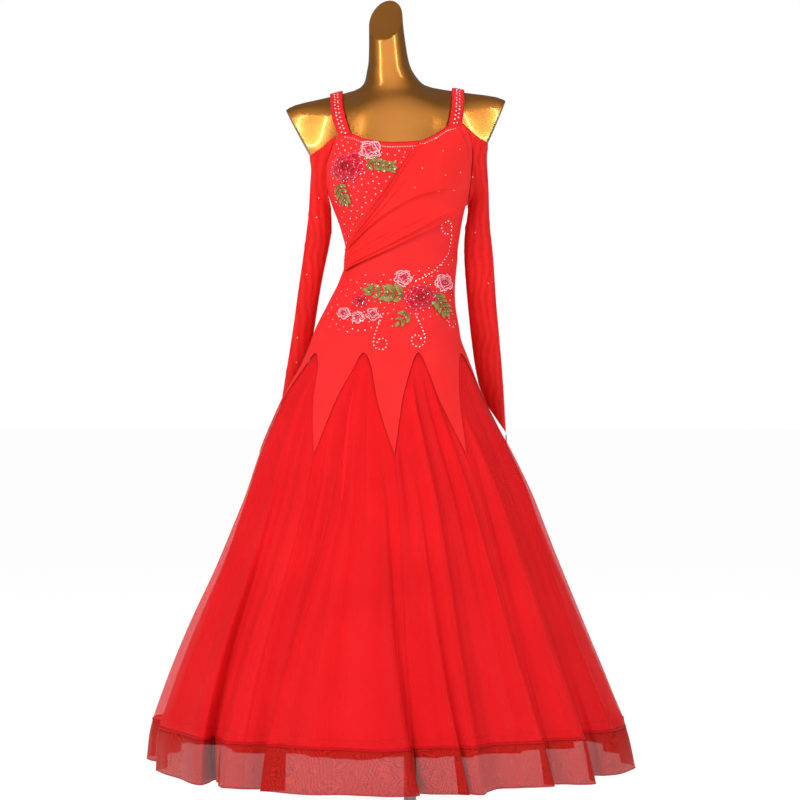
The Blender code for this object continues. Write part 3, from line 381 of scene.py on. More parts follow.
def dress_skin(angle, level):
    """Middle of the bodice's cloth: close to the form above, the skirt's flare below."""
    ease, low, high, side_low, side_high = ARM_EASE
    at_arm = smooth_step(low, high, level) * smooth_step(side_low, side_high, np.abs(np.sin(angle)))
    upper = form_point(angle, level, CLEARANCE + ease * at_arm)
    radius = ellipse_radius(angle, skirt_width(level), skirt_depth(level))
    lower = place(skirt_x(level) + radius * np.sin(angle), skirt_y(level) - radius * np.cos(angle),
                  level)
    share = smooth_step(FLARE[0], FLARE[1], level)
    return lower + (upper - lower) * np.asarray(share)[..., None]


def dress_point(angle, level, out):
    probe = 0.004
    across = dress_skin(angle + probe, level) - dress_skin(angle - probe, level)
    up = dress_skin(angle, level + probe) - dress_skin(angle, level - probe)
    return dress_skin(angle, level) + unit(np.cross(across, up)) * np.asarray(out)[..., None]


def angle_of_x(x, level, front=True):
    low, high = np.full(np.shape(x), -math.pi / 2), np.full(np.shape(x), math.pi / 2)
    for _ in range(24):
        middle = 0.5 * (low + high)
        left = dress_skin(middle, level)[..., 0] < x
        low, high = np.where(left, middle, low), np.where(left, high, middle)
    return low if front else math.pi - low


def front_point(x, height, out):
    """A point on the front of the bodice with a given x and height."""
    x, height, out = np.broadcast_arrays(*(np.asarray(value, float) for value in (x, height, out)))
    level = height - tilt_at(height) * (x - form_x(height))
    return dress_point(angle_of_x(x, level), level, out)


def front_normal(x, height):
    across = front_point(x + 0.002, height, 0.0) - front_point(x - 0.002, height, 0.0)
    up = front_point(x, height + 0.002, 0.0) - front_point(x, height - 0.002, 0.0)
    return unit(np.cross(across, up))


def seam_columns(panel, per_side):
    """Angles and seam levels across one panel, from yoke point to yoke point."""
    start, top, end = YOKE_POINTS[panel], GODET_TOPS[panel], YOKE_POINTS[panel + 1]
    share = np.concatenate([1.0 - steps(per_side), steps(per_side)[1:]])
    degrees = np.concatenate([mix(start, top, steps(per_side)), mix(top, end, steps(per_side)[1:])])
    return np.radians(degrees), mix(GODET_TOP, YOKE_POINT, share ** SEAM_ROUNDNESS)


def turned_from(degrees, at):
    return (degrees - at + 180.0) % 360.0 - 180.0


def fold_depth(angle, share):
    degrees = np.degrees(angle)
    share = np.maximum(share, 0.0)
    large = sum(depth * np.exp(-(turned_from(degrees, at) / half) ** 2)
                for at, half, depth, _ in FOLDS)
    small = sum(depth * np.exp(-(turned_from(degrees, at) / half) ** 2)
                * smooth_step(start - 0.25, start + 0.15, share) for at, half, depth, start in CREASES)
    return (FLUTE_DEPTH * large * share ** FLUTE_GROWTH
            + CREASE_DEPTH * small * smooth_step(0.0, 0.10, share))


def lap_shift(angle, share):
    """How far the cloth is carried round the skirt where one flute laps over the next."""
    degrees = np.degrees(angle)
    total = 0.0
    for at, half, _, lap in FOLDS:
        apart = turned_from(degrees, at) * np.sign(lap)
        total = total - lap * np.exp(-((apart - 1.2 * half) / (0.8 * half)) ** 2)
    return total * np.maximum(share, 0.0) ** LAP_GROWTH


def skirt_point(angle, level, seam, layer_in, laps=1.0):
    share = (seam - level) / (seam - HEM_HEIGHT)
    inward = fold_depth(angle, share) + layer_in
    out, ahead = place(np.sin(angle), -np.cos(angle), 0.0), place(np.cos(angle), np.sin(angle), 0.0)
    return (dress_skin(angle, level) - out * np.asarray(inward)[..., None]
            + ahead * np.asarray(laps * lap_shift(angle, share))[..., None])


def pick(thing):
    bpy.ops.object.select_all(action="DESELECT")
    thing.select_set(True)
    bpy.context.view_layer.objects.active = thing


def apply_all(thing):
    pick(thing)
    for modifier in list(thing.modifiers):
        bpy.ops.object.modifier_apply(modifier=modifier.name)


def lengths_of(points):
    across = np.linalg.norm(np.diff(points, axis=1), axis=-1).sum(axis=1).max()
    down = np.linalg.norm(np.diff(points, axis=0), axis=-1).sum(axis=0).max()
    return float(across), float(down)


def run_of(points):
    """Distance along a line of points, from its start to each of them."""
    return np.concatenate([[0.0], np.cumsum(np.linalg.norm(np.diff(points, axis=0), axis=1))])


def read_run(at, reached, line):
    """Points of a line at given distances along it."""
    return np.stack([np.interp(at, reached, column) for column in line.T], -1)


def scale_uv(thing, factors):
    """Scale a sheet's UV map by a factor for each of its two directions."""
    layer = thing.data.uv_layers[0].data
    uv = np.empty(len(layer) * 2, np.float32)
    layer.foreach_get("uv", uv)
    layer.foreach_set("uv", (uv.reshape(-1, 2) * factors).ravel())


def lay_sheet(name, points):
    """A grid laid through rows of points, top row first, with a UV map in metres."""
    rows, columns = points.shape[:2]
    bpy.ops.object.select_all(action="DESELECT")
    bpy.ops.mesh.primitive_grid_add(x_subdivisions=columns - 1, y_subdivisions=rows - 1,
                                    size=1.0, calc_uvs=True)
    thing = bpy.context.object
    thing.name = thing.data.name = name
    thing.data.vertices.foreach_set("co", points[::-1].reshape(-1).astype(np.float32))
    scale_uv(thing, lengths_of(points))
    thing.data.update()
    thing.data.shade_smooth()
    return thing


def weld(thing, distance=0.00002):
    pick(thing)
    bpy.ops.object.mode_set(mode="EDIT")
    bpy.ops.mesh.select_all(action="SELECT")
    bpy.ops.mesh.remove_doubles(threshold=distance)
    bpy.ops.mesh.delete_loose()
    bpy.ops.object.mode_set(mode="OBJECT")


def thicken(thing, thickness):
    """Make a wall of an open surface, with the surface on its outside."""
    wall = thing.modifiers.new("Wall", "SOLIDIFY")
    wall.thickness = thickness
    wall.offset = -1.0
    apply_all(thing)


def dress_with(thing, material, slot, *nodes):
    """Give a piece its finish and place it on the frame, in the stead of its solids."""
    thing.data.materials.clear()
    thing.data.materials.append(material)
    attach(thing, "root")
    if nodes:
        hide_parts(*nodes)


def make_cloth(name, points, thickness, material, slot, node):
    """A piece of thin cloth on the frame, in the stead of its solid."""
    thing = lay_sheet(name, points)
    thicken(thing, thickness)
    dress_with(thing, material, slot, node)


def join(things, name):
    pick(things[0])
    for thing in things:
        thing.select_set(True)
    bpy.ops.object.join()
    joined = bpy.context.object
    joined.name = joined.data.name = name
    return joined


# Materials


def add_node(tree, kind, **values):
    made = tree.nodes.new(kind)
    for key, value in values.items():
        if hasattr(made, key):
            setattr(made, key, value)
        else:
            made.inputs[key.replace("_", " ")].default_value = value
    return made


def new_group(name, inputs, outputs):
    tree = bpy.data.node_groups.new(name, "ShaderNodeTree")
    for socket, kind, value in inputs:
        made = tree.interface.new_socket(name=socket, in_out="INPUT", socket_type=kind)
        if value is not None:
            made.default_value = value
    for socket, kind in outputs:
        tree.interface.new_socket(name=socket, in_out="OUTPUT", socket_type=kind)
    return tree, tree.nodes.new("NodeGroupInput"), tree.nodes.new("NodeGroupOutput")


def make_weave_group():
    """Crossing threads: a height for bump and a mask of the gaps between them."""
    tree, given, put = new_group(
        "woven_threads", [("Vector", "NodeSocketVector", None), ("Threads", "NodeSocketFloat", 900.0)],
        [("Height", "NodeSocketFloat"), ("Gaps", "NodeSocketFloat")])
    link = tree.links.new
    apart = add_node(tree, "ShaderNodeSeparateXYZ")
    link(given.outputs["Vector"], apart.inputs[0])
    high = add_node(tree, "ShaderNodeMath", operation="MAXIMUM")
    for i, axis in enumerate("XY"):
        scaled = add_node(tree, "ShaderNodeMath", operation="MULTIPLY")
        link(apart.outputs[axis], scaled.inputs[0])
        link(given.outputs["Threads"], scaled.inputs[1])
        turned = add_node(tree, "ShaderNodeMath", operation="MULTIPLY")
        turned.inputs[1].default_value = 2.0 * math.pi
        link(scaled.outputs[0], turned.inputs[0])
        wave = add_node(tree, "ShaderNodeMath", operation="SINE")
        link(turned.outputs[0], wave.inputs[0])
        link(wave.outputs[0], high.inputs[i])
    gaps = add_node(tree, "ShaderNodeMapRange", From_Min=-0.2, From_Max=-0.7)
    link(high.outputs[0], gaps.inputs["Value"])
    link(high.outputs[0], put.inputs["Height"])
    link(gaps.outputs[0], put.inputs["Gaps"])
    return tree


def make_tone_group():
    """Soft unevenness of a colour, and a mask of it for roughness."""
    tree, given, put = new_group(
        "uneven_tone", [("Vector", "NodeSocketVector", None), ("Colour", "NodeSocketColor", (1, 1, 1, 1)),
                        ("Second colour", "NodeSocketColor", (1, 1, 1, 1)), ("Scale", "NodeSocketFloat", 8.0)],
        [("Colour", "NodeSocketColor"), ("Mask", "NodeSocketFloat")])
    link = tree.links.new
    noise = add_node(tree, "ShaderNodeTexNoise", Detail=4.0, Roughness=0.55)
    link(given.outputs["Vector"], noise.inputs["Vector"])
    link(given.outputs["Scale"], noise.inputs["Scale"])
    spread = add_node(tree, "ShaderNodeMapRange", From_Min=0.3, From_Max=0.7)
    link(noise.outputs["Fac"], spread.inputs["Value"])
    blend = add_node(tree, "ShaderNodeMix", data_type="RGBA")
    link(spread.outputs[0], blend.inputs[0])
    link(given.outputs["Colour"], blend.inputs[6])
    link(given.outputs["Second colour"], blend.inputs[7])
    link(blend.outputs[2], put.inputs["Colour"])
    link(spread.outputs[0], put.inputs["Mask"])
    return tree


def make_moire_group():
    """Wavering bands, as where two layers of fine net lie on each other."""
    tree, given, put = new_group(
        "net_moire", [("Vector", "NodeSocketVector", None), ("Scale", "NodeSocketFloat", 60.0),
                      ("Waver", "NodeSocketFloat", 6.0)], [("Fringe", "NodeSocketFloat")])
    link = tree.links.new
    wave = add_node(tree, "ShaderNodeTexWave", Detail=1.0, Detail_Scale=0.6)
    link(given.outputs["Vector"], wave.inputs["Vector"])
    link(given.outputs["Scale"], wave.inputs["Scale"])
    link(given.outputs["Waver"], wave.inputs["Distortion"])
    link(wave.outputs["Fac"], put.inputs["Fringe"])
    return tree


WEAVE, TONE, MOIRE = make_weave_group(), make_tone_group(), make_moire_group()


def new_material(name, **values):
    material = bpy.data.materials.new(name)
    material.use_nodes = True
    shader = material.node_tree.nodes["Principled BSDF"]
    for key, value in values.items():
        shader.inputs[key.replace("_", " ")].default_value = value
    return material, material.node_tree, shader


def use_group(tree, group, vector, **values):
    made = tree.nodes.new("ShaderNodeGroup")
    made.node_tree = group
    tree.links.new(vector, made.inputs["Vector"])
    for key, value in values.items():
        made.inputs[key.replace("_", " ")].default_value = value
    return made


def bump_from(tree, shader, height, strength, distance):
    bump = add_node(tree, "ShaderNodeBump", Strength=strength, Distance=distance)
    tree.links.new(height, bump.inputs["Height"])
    tree.links.new(bump.outputs[0], shader.inputs["Normal"])


def cloth_material(name, colour, second, rough, threads, bump=0.25, sheen=0.3, opacity=None,
                   moire=None, on_uv=True):
    """Woven or knitted cloth. opacity is for threads and gaps, moire is scale, shade and waver."""
    material, tree, shader = new_material(name, Roughness=rough, Sheen_Weight=sheen, Sheen_Roughness=0.4,
                                          Sheen_Tint=(1.0, 0.12, 0.12, 1.0), Specular_IOR_Level=0.12)
    link = tree.links.new
    where = tree.nodes.new("ShaderNodeTexCoord")
    vector = where.outputs["UV" if on_uv else "Object"]
    tone = use_group(tree, TONE, where.outputs["Object"], Colour=(*colour, 1.0),
                     Second_colour=(*second, 1.0), Scale=9.0)
    weave = use_group(tree, WEAVE, vector, Threads=threads)
    shade = tone.outputs["Colour"]
    if moire:
        fringe = use_group(tree, MOIRE, vector, Scale=moire[0], Waver=moire[2])
        darker = add_node(tree, "ShaderNodeMix", data_type="RGBA", blend_type="MULTIPLY")
        darker.inputs[7].default_value = (moire[1], moire[1] * 0.8, moire[1] * 0.8, 1.0)
        link(fringe.outputs["Fringe"], darker.inputs[0])
        link(shade, darker.inputs[6])
        shade = darker.outputs[2]
    link(shade, shader.inputs["Base Color"])
    bump_from(tree, shader, weave.outputs["Height"], bump, FINE_BUMP)
    if opacity:
        see = add_node(tree, "ShaderNodeMapRange", To_Min=opacity[0], To_Max=opacity[1])
        link(weave.outputs["Gaps"], see.inputs["Value"])
        link(see.outputs[0], shader.inputs["Alpha"])
    return material


def toned_material(name, colour, second, scale, rough=None, grain=None, **values):
    """A finish of uneven colour. rough is a range, grain is scale and strength of a fine bump."""
    material, tree, shader = new_material(name, **values)
    link = tree.links.new
    where = tree.nodes.new("ShaderNodeTexCoord")
    tone = use_group(tree, TONE, where.outputs["Object"], Colour=(*colour, 1.0),
                     Second_colour=(*second, 1.0), Scale=scale)
    link(tone.outputs["Colour"], shader.inputs["Base Color"])
    if rough:
        spread = add_node(tree, "ShaderNodeMapRange", To_Min=rough[0], To_Max=rough[1])
        link(tone.outputs["Mask"], spread.inputs["Value"])
        link(spread.outputs[0], shader.inputs["Roughness"])
    if grain:
        noise = add_node(tree, "ShaderNodeTexNoise", Scale=grain[0], Detail=2.0)
        link(where.outputs["Object"], noise.inputs["Vector"])
        bump_from(tree, shader, noise.outputs["Fac"], grain[1], FINE_BUMP)
    return material


def embroidery_material(name, root, middle, edge, stitches, metallic=0.0):
    """Satin stitch: from the root of a petal or leaf to a narrow pale edge, in thread lines."""
    material, tree, shader = new_material(name, Roughness=0.45, Metallic=metallic, Sheen_Weight=0.04,
                                          Specular_IOR_Level=0.15)
    link = tree.links.new
    where = tree.nodes.new("ShaderNodeUVMap")
    apart = add_node(tree, "ShaderNodeSeparateXYZ")
    link(where.outputs[0], apart.inputs[0])

    def reckon(kind, first, second=0.0, third=None):
        made = add_node(tree, "ShaderNodeMath", operation=kind)
        for socket, value in zip(made.inputs, (first, second, third)):
            if isinstance(value, (int, float)):
                socket.default_value = value
            elif value is not None:
                link(value, socket)
        return made.outputs[0]

    ragged = add_node(tree, "ShaderNodeTexNoise", Scale=16.0, Detail=2.0)
    link(where.outputs[0], ragged.inputs["Vector"])
    aside = reckon("ABSOLUTE", reckon("MULTIPLY_ADD", apart.outputs["X"], 2.0, -1.0))
    outward = reckon("MAXIMUM", reckon("MULTIPLY", aside, 0.93), apart.outputs["Y"])
    shift = reckon("MULTIPLY_ADD", ragged.outputs["Fac"], 0.30, reckon("SUBTRACT", outward, 0.15))
    ramp = tree.nodes.new("ShaderNodeValToRGB")
    stops = [(0.30, root), (0.72, middle), (0.86, middle), (0.93, edge)]
    while len(ramp.color_ramp.elements) < len(stops):
        ramp.color_ramp.elements.new(0.5)
    for element, (at, colour) in zip(ramp.color_ramp.elements, stops):
        element.position = at
        element.color = (*colour, 1.0)
    link(shift, ramp.inputs[0])
    link(ramp.outputs[0], shader.inputs["Base Color"])
    ridge = reckon("SINE", reckon("MULTIPLY", apart.outputs["X"], stitches * 2.0 * math.pi))
    bump_from(tree, shader, ridge, 0.5, 0.0003)
    return material


CREPE = cloth_material("crepe", (0.71, 0.020, 0.021), (0.65, 0.015, 0.016), 0.62, 1300.0,
                       bump=0.15, sheen=0.12)
DRAPE = cloth_material("draped_crepe", (0.72, 0.018, 0.016), (0.66, 0.014, 0.013), 0.58, 1300.0,
                       bump=0.15, sheen=0.12)
STRAP = cloth_material("strap_crepe", (0.62, 0.014, 0.016), (0.52, 0.010, 0.012), 0.6, 1100.0, sheen=0.1)
NET = cloth_material("stretch_net", (0.88, 0.020, 0.018), (0.78, 0.014, 0.013), 0.5, 800.0, sheen=0.08,
                     opacity=(0.68, 0.36), moire=(26.0, 0.84, 7.0), on_uv=False)
ORGANZA = cloth_material("organza", (0.80, 0.012, 0.016), (0.72, 0.009, 0.012), 0.45, 900.0,
                         bump=0.06, sheen=0.1, opacity=(0.44, 0.28))
SATIN = cloth_material("satin", (0.78, 0.008, 0.013), (0.68, 0.006, 0.010), 0.45, 1600.0,
                       bump=0.04, sheen=0.1)
CRINOLINE = cloth_material("crinoline", (0.56, 0.013, 0.008), (0.48, 0.010, 0.006), 0.45, 900.0,
                           bump=0.2, sheen=0.05, opacity=(0.78, 0.47), moire=(72.0, 0.62, 34.0))
ROLLED = cloth_material("rolled_hem", (0.46, 0.004, 0.008), (0.38, 0.003, 0.006), 0.5, 1500.0,
                        bump=0.1, sheen=0.05, on_uv=False)
GOLD = toned_material("gold_lacquer", (0.66, 0.232, 0.030), (0.74, 0.282, 0.042), 5.0, rough=(0.20, 0.27),
                      grain=(900.0, 0.04), Metallic=0.92, Coat_Weight=0.5, Coat_Roughness=0.05)
STEEL = toned_material("stand_steel", (0.30, 0.27, 0.25), (0.22, 0.20, 0.19), 30.0, rough=(0.28, 0.42),
                       Metallic=1.0)
STONE = toned_material("crystal_foil", (0.96, 0.90, 0.90), (0.93, 0.70, 0.72), 160.0, rough=(0.10, 0.30),
                       Metallic=0.85, Coat_Weight=1.0, Coat_Roughness=0.02)
THREAD = toned_material("sewing_thread", (0.62, 0.015, 0.02), (0.50, 0.01, 0.015), 60.0, grain=(2500.0, 0.3),
                        Roughness=0.55, Sheen_Weight=0.3)
PETALS = {
    "petal_pink": embroidery_material("petal_pink", (0.30, 0.004, 0.016), (0.58, 0.020, 0.045),
                                      (0.90, 0.54, 0.56), 9.0),
    "petal_red": embroidery_material("petal_red", (0.13, 0.001, 0.005), (0.44, 0.003, 0.014),
                                     (0.66, 0.040, 0.075), 9.0),
}
LEAF = embroidery_material("leaf_thread", (0.16, 0.12, 0.025), (0.34, 0.27, 0.075), (0.12, 0.09, 0.015), 7.0,
                           metallic=0.3)


# Form and stand


def even_angles(level, per_quarter):
    """Angles round the form at a level, so spaced that its points lie evenly apart."""
    fine = np.linspace(0.0, math.pi / 2, 181)
    points = form_radius(fine, level)[:, None] * np.stack([np.sin(fine), np.cos(fine)], -1)
    reached = run_of(points)
    quarter = np.interp(steps(per_quarter) * reached[-1], reached, fine)
    half = np.concatenate([quarter, math.pi - quarter[-2::-1]])
    return np.concatenate([half, math.pi + half[1:]])


def build_form():
    """The smooth torso on its socket, cut flat at the arms and the neck."""
    per_quarter = 30
    levels = [np.linspace(a[0], b[0], max(2, round((b[0] - a[0]) / 0.006)), endpoint=False)
              for a, b in zip(FORM_SECTIONS, FORM_SECTIONS[1:])]
    levels = np.concatenate(levels + [[FORM_SECTIONS[-1][0]]])
    rings = [form_point(even_angles(level, per_quarter), level) for level in levels]
    bottom = even_angles(levels[0], per_quarter)
    for radius, drop in ((SOCKET_RADIUS + 0.003, 0.0), (SOCKET_RADIUS, 0.003),
                         (SOCKET_RADIUS, SOCKET_DROP - 0.002), (SOCKET_RADIUS - 0.002, SOCKET_DROP),
                         (0.0, SOCKET_DROP)):
        rings.insert(0, place(radius * np.sin(bottom), -radius * np.cos(bottom), levels[0] - drop))
    thing = lay_sheet("form_gold", np.array(rings)[::-1])
    weld(thing)
    for at, facing in ARM_CUTS + [NECK_CUT]:
        pick(thing)
        bpy.ops.object.mode_set(mode="EDIT")
        bpy.ops.mesh.select_all(action="DESELECT")
        work = bmesh.from_edit_mesh(thing.data)
        for vertex in work.verts:
            vertex.select = vertex.co.z > CUTS_ABOVE
        work.select_flush(True)
        bmesh.update_edit_mesh(thing.data)
        bpy.ops.mesh.bisect(plane_co=at, plane_no=facing, use_fill=True, clear_outer=True)
        bpy.ops.object.mode_set(mode="OBJECT")
    pick(thing)
    bpy.ops.object.shade_smooth_by_angle(angle=math.radians(42))
    dress_with(thing, GOLD, "gold_gloss", "form_torso")
    for name in ("stand_pole", "stand_base"):
        for slot in frame["nodes"][name].material_slots:
            slot.material = STEEL


# Bodice


def armhole_angle(level, side, front):
    """Angle of the armhole's edge at a level, for arrays of sides -1 and 1."""
    right = YOKE_POINTS[0] if front else YOKE_POINTS[8]
    seam = np.radians(np.where(side < 0, right, YOKE_POINTS[4]))
    table_level = np.maximum(level, ARMHOLE[0][0])
    x = np.where(side < 0, curve(ARMHOLE, 1)(table_level), curve(ARMHOLE, 2)(table_level))
    edge = angle_of_x(x, table_level, front)
    return mix(seam, edge, np.clip((level - UNDERARM) / (ARMHOLE[0][0] - UNDERARM), 0.0, 1.0))


def top_level(share, side, front):
    table = curve(NECK_FRONT if front else NECK_BACK, 1)
    centre = 0.0 if front else math.pi
    level = np.full(np.shape(share), STRAP_AXIS[1])
    for _ in range(6):
        x = dress_skin(mix(centre, armhole_angle(level, side, front), share), level)[..., 0]
        height = table(x)
        level = height - tilt_at(height) * (x - form_x(height))
    return level


def crease_depth(points, creases):
    """Sum of soft troughs along straight lines given as x and height."""
    total = np.zeros(points.shape[:-1])
    flat = points[..., [0, 2]]
    for x0, z0, x1, z1, half, depth, _ in creases:
        start, way = np.array([x0, z0]), np.array([x1 - x0, z1 - z0])
        along = ((flat - start) @ way) / (way @ way)
        apart = np.linalg.norm(flat - start - along[..., None] * way, axis=-1)
        fade = smooth_step(-0.15, 0.25, along) * smooth_step(1.15, 0.75, along)
        total += depth * np.exp(-(apart / half) ** 2) * fade
    return total


def bodice_grid(front, per_side=14, upper=64, lower=26):
    """Angles and levels of one side's grid, top edge first."""
    made = [seam_columns(panel, per_side) for panel in (range(4) if front else range(4, 8))]
    angle = np.concatenate([made[0][0]] + [m[0][1:] for m in made[1:]])
    seam = np.concatenate([made[0][1]] + [m[1][1:] for m in made[1:]])
    centre = 0.0 if front else math.pi
    edge = np.where(angle < centre, angle[0], angle[-1])
    side = np.where((angle < centre) == front, -1, 1)
    share = np.abs(angle - centre) / np.abs(edge - centre)
    top = top_level(share, side, front)
    levels, turns = [], []
    for step in steps(upper)[::-1]:
        level = mix(YOKE_LINE, top, step)
        levels.append(level)
        turns.append(mix(centre, armhole_angle(level, side, front), share))
    for step in steps(lower)[1:]:
        levels.append(mix(YOKE_LINE, seam - 0.0012, step))
        turns.append(angle)
    return np.array(turns), np.array(levels)


def build_bodice(front):
    """Front or back of the bodice, from its top edge down to the zigzag hip seam."""
    node = "bodice_front" if front else "bodice_back"
    turns, levels = bodice_grid(front)
    points = dress_point(turns, levels, np.zeros(levels.shape))
    inward = crease_depth(points, [row for row in BODICE_CREASES if row[6] == front])
    seam_pull = 0.0006 * np.exp(-((levels - levels[-1]) / 0.006) ** 2)
    points = dress_point(turns, levels, 0.0006 + seam_pull - inward)
    make_cloth(node + "_crepe", points, CREPE_WALL, CREPE, "crepe_red", node)
    return points


def build_piping(name, line, radius, material, slot, closed=False):
    """A rolled edge or cord along a line of points."""
    data = bpy.data.curves.new(name, "CURVE")
    data.dimensions = "3D"
    data.bevel_depth = radius
    data.bevel_resolution = 2
    data.use_fill_caps = True
    spline = data.splines.new("POLY")
    spline.points.add(len(line) - 1)
    spline.points.foreach_set("co", np.concatenate([line, np.ones((len(line), 1))], axis=1).ravel())
    spline.use_cyclic_u = closed
    thing = bpy.data.objects.new(name, data)
    bpy.context.collection.objects.link(thing)
    pick(thing)
    bpy.ops.object.convert(target="MESH")
    thing = bpy.context.object
    weld(thing, 0.00001)
    thing.data.shade_smooth()
    dress_with(thing, material, slot)
    return thing


def between(table, share):
    """A smooth curve through a list of x and height pairs, at shares of their number."""
    rows = [(i / (len(table) - 1), *pair) for i, pair in enumerate(table)]
    return curve(rows, 1)(share), curve(rows, 2)(share)


def build_drape():
    """The overlay from the wearer's left bust to the right waist, with its tucks."""
    down, over = np.meshgrid(steps(110), steps(96), indexing="ij")
    low_x, low_z = between(DRAPE_WAIST, over)
    high_x, high_z = between(DRAPE_TOP, over)
    rise = 0.0024 + 0.0014 * (1.0 - down) ** 2
    for at_waist, at_bust, bend, height, sharp, fade in TUCKS:
        apart = over - mix(at_waist, at_bust, down ** bend) - 0.006 * np.sin(7.0 * down + 20.0 * at_waist)
        ledge = np.where(apart <= 0.0, np.exp(np.minimum(apart, 0.0) / 0.085), np.exp(-(apart / sharp) ** 2))
        fades = smooth_step(fade + 0.2, fade - 0.15, down) * smooth_step(-0.02, 0.10, down)
        rise = rise + height * ledge * fades
    points = front_point(mix(low_x, high_x, down), mix(low_z, high_z, down), rise)
    make_cloth("sash_crepe", points, CREPE_WALL, DRAPE, "drape_red", "sash_drape")


# Skirt


def build_skirt():
    """Organza over satin in eight panels each, with the stiff band below the organza."""
    hem_line, inner_line, band_line = [], [], []
    for panel in range(8):
        number = str(panel + 1)
        angle, seam = seam_columns(panel, OUTER_COLUMNS)
        level = mix(seam - 0.0002, HEM_LINE, steps(64)[:, None] ** ROW_CROWDING)
        points = skirt_point(angle, level, seam, 0.0002)
        make_cloth("skirt_organza_" + number, points, ORGANZA_WALL, ORGANZA, "organza_red",
                   "skirt_outer_" + number)
        hem_line.append(points[-1][:-1])

        angle, seam = seam_columns(panel, INNER_COLUMNS)
        down = steps(44)[:, None]
        level = mix(seam - 0.004, INNER_HEM, down ** ROW_CROWDING)
        gap = mix(LAYER_GAP[0], LAYER_GAP[1], smooth_step(0.0, LAYER_GAP[2], down)) * np.ones_like(level)
        points = skirt_point(angle, level, seam, gap, laps=0.0)
        make_cloth("skirt_satin_" + number, points, SATIN_WALL, SATIN, "satin_red", "skirt_inner_" + number)
        level = INNER_STITCH + 0.0 * angle
        inner_line.append(skirt_point(angle, level, seam, LAYER_GAP[1] - 0.0004, laps=0.0)[:-1])

        angle, seam = seam_columns(panel, OUTER_COLUMNS)
        down = steps(10)[:, None]
        level = mix(HEM_LINE, HEM_HEIGHT + 0.0015 * np.cos(9.0 * angle + 1.0), down)
        wave = 0.0035 * down * np.sin(26.0 * angle + 2.0 * np.sin(3.0 * angle))
        points = skirt_point(angle, level, seam, wave + 0.0 * level)
        make_cloth("hem_crinoline_" + number, points, BAND_WALL, CRINOLINE, "crinoline_red",
                   "hem_band_" + number)
        band_line.append(points[-1][:-1])
    for name, lines, radius, slot in (("hem_roll", hem_line, HEM_ROLL, "organza_red"),
                                      ("satin_hem_stitching", inner_line, CORD, "satin_red"),
                                      ("band_edge_thread", band_line, EDGE_THREAD, "crinoline_red")):
        build_piping(name, np.concatenate(lines), radius, ROLLED, slot, closed=True)


# Sleeves, straps and finger loops


def outer_side(node, name, faces_out):
    """A copy of a solid cloth wall's outer side, merged, with four-sided faces."""
    thing = frame["nodes"][node].copy()
    thing.data = frame["nodes"][node].data.copy()
    for key in list(thing.keys()):
        del thing[key]
    thing.name = thing.data.name = name
    bpy.context.collection.objects.link(thing)
    thing.parent = None
    thing.hide_render = False
    weld(thing)
    bpy.ops.object.mode_set(mode="EDIT")
    bpy.ops.mesh.select_mode(type="EDGE")
    bpy.ops.mesh.select_all(action="DESELECT")
    bpy.ops.mesh.edges_select_sharp(sharpness=math.radians(66))
    bpy.ops.mesh.mark_sharp()
    bpy.ops.mesh.select_mode(type="FACE")
    bpy.ops.mesh.select_all(action="DESELECT")
    work = bmesh.from_edit_mesh(thing.data)
    work.faces.ensure_lookup_table()
    for face in work.faces:
        face.select_set(faces_out(face))
    bmesh.update_edit_mesh(thing.data)
    bpy.ops.mesh.select_linked(delimit={"SHARP"})
    bpy.ops.mesh.select_all(action="INVERT")
    bpy.ops.mesh.delete(type="FACE")
    bpy.ops.mesh.select_all(action="SELECT")
    loose = math.radians(60)
    bpy.ops.mesh.tris_convert_to_quads(face_threshold=loose, shape_threshold=loose)
    bpy.ops.mesh.mark_sharp(clear=True)
    bpy.ops.object.mode_set(mode="OBJECT")
    thing.data.shade_smooth()
    return thing


def subdivide(thing, levels):
    smooth = thing.modifiers.new("Smooth", "SUBSURF")
    smooth.levels = smooth.render_levels = levels
    apply_all(thing)


def read_points(thing):
    count = len(thing.data.vertices)
    points, normals = np.empty(count * 3, np.float32), np.empty(count * 3, np.float32)
    thing.data.vertices.foreach_get("co", points)
    thing.data.vertices.foreach_get("normal", normals)
    return points.reshape(-1, 3).astype(float), normals.reshape(-1, 3).astype(float)


def build_sleeve(node, side):
    """A net sleeve on its solid's outer side, with creases. side is -1 or 1, right or left."""
    axis = curve(SLEEVE_AXES[node], 1), curve(SLEEVE_AXES[node], 2)

    def faces_out(face):
        middle = face.calc_center_median()
        way = Vector((middle.x - float(axis[0](middle.z)), middle.y - float(axis[1](middle.z)), 0.0))
        return face.normal.dot(way.normalized()) > 0.8

    thing = outer_side(node, node + "_net", faces_out)
    point = min(range(len(thing.data.vertices)), key=lambda i: thing.data.vertices[i].co.z)
    thing.data.attributes.new("crease_vert", "FLOAT", "POINT").data[point].value = 1.0
    subdivide(thing, 2)
    points, normals = read_points(thing)
    turn = np.arctan2(points[:, 1] - axis[1](points[:, 2]), (points[:, 0] - axis[0](points[:, 2])) * side)
    inward = np.zeros(len(points))
    for height, at, slope, half, depth in SLEEVE_CREASES:
        apart = turned_from(np.degrees(turn), at * side)
        line = points[:, 2] - height - slope * apart / 60.0
        inward += depth * np.exp(-(line / half) ** 2) * np.exp(-(apart / 75.0) ** 2)
    thing.data.vertices.foreach_set("co", (points - normals * inward[:, None]).astype(np.float32).ravel())
    thing.data.update()
    points, normals = read_points(thing)
    thing.data.calc_loop_triangles()
    thicken(thing, NET_WALL)
    dress_with(thing, NET, "mesh_red", node)
    return points, normals


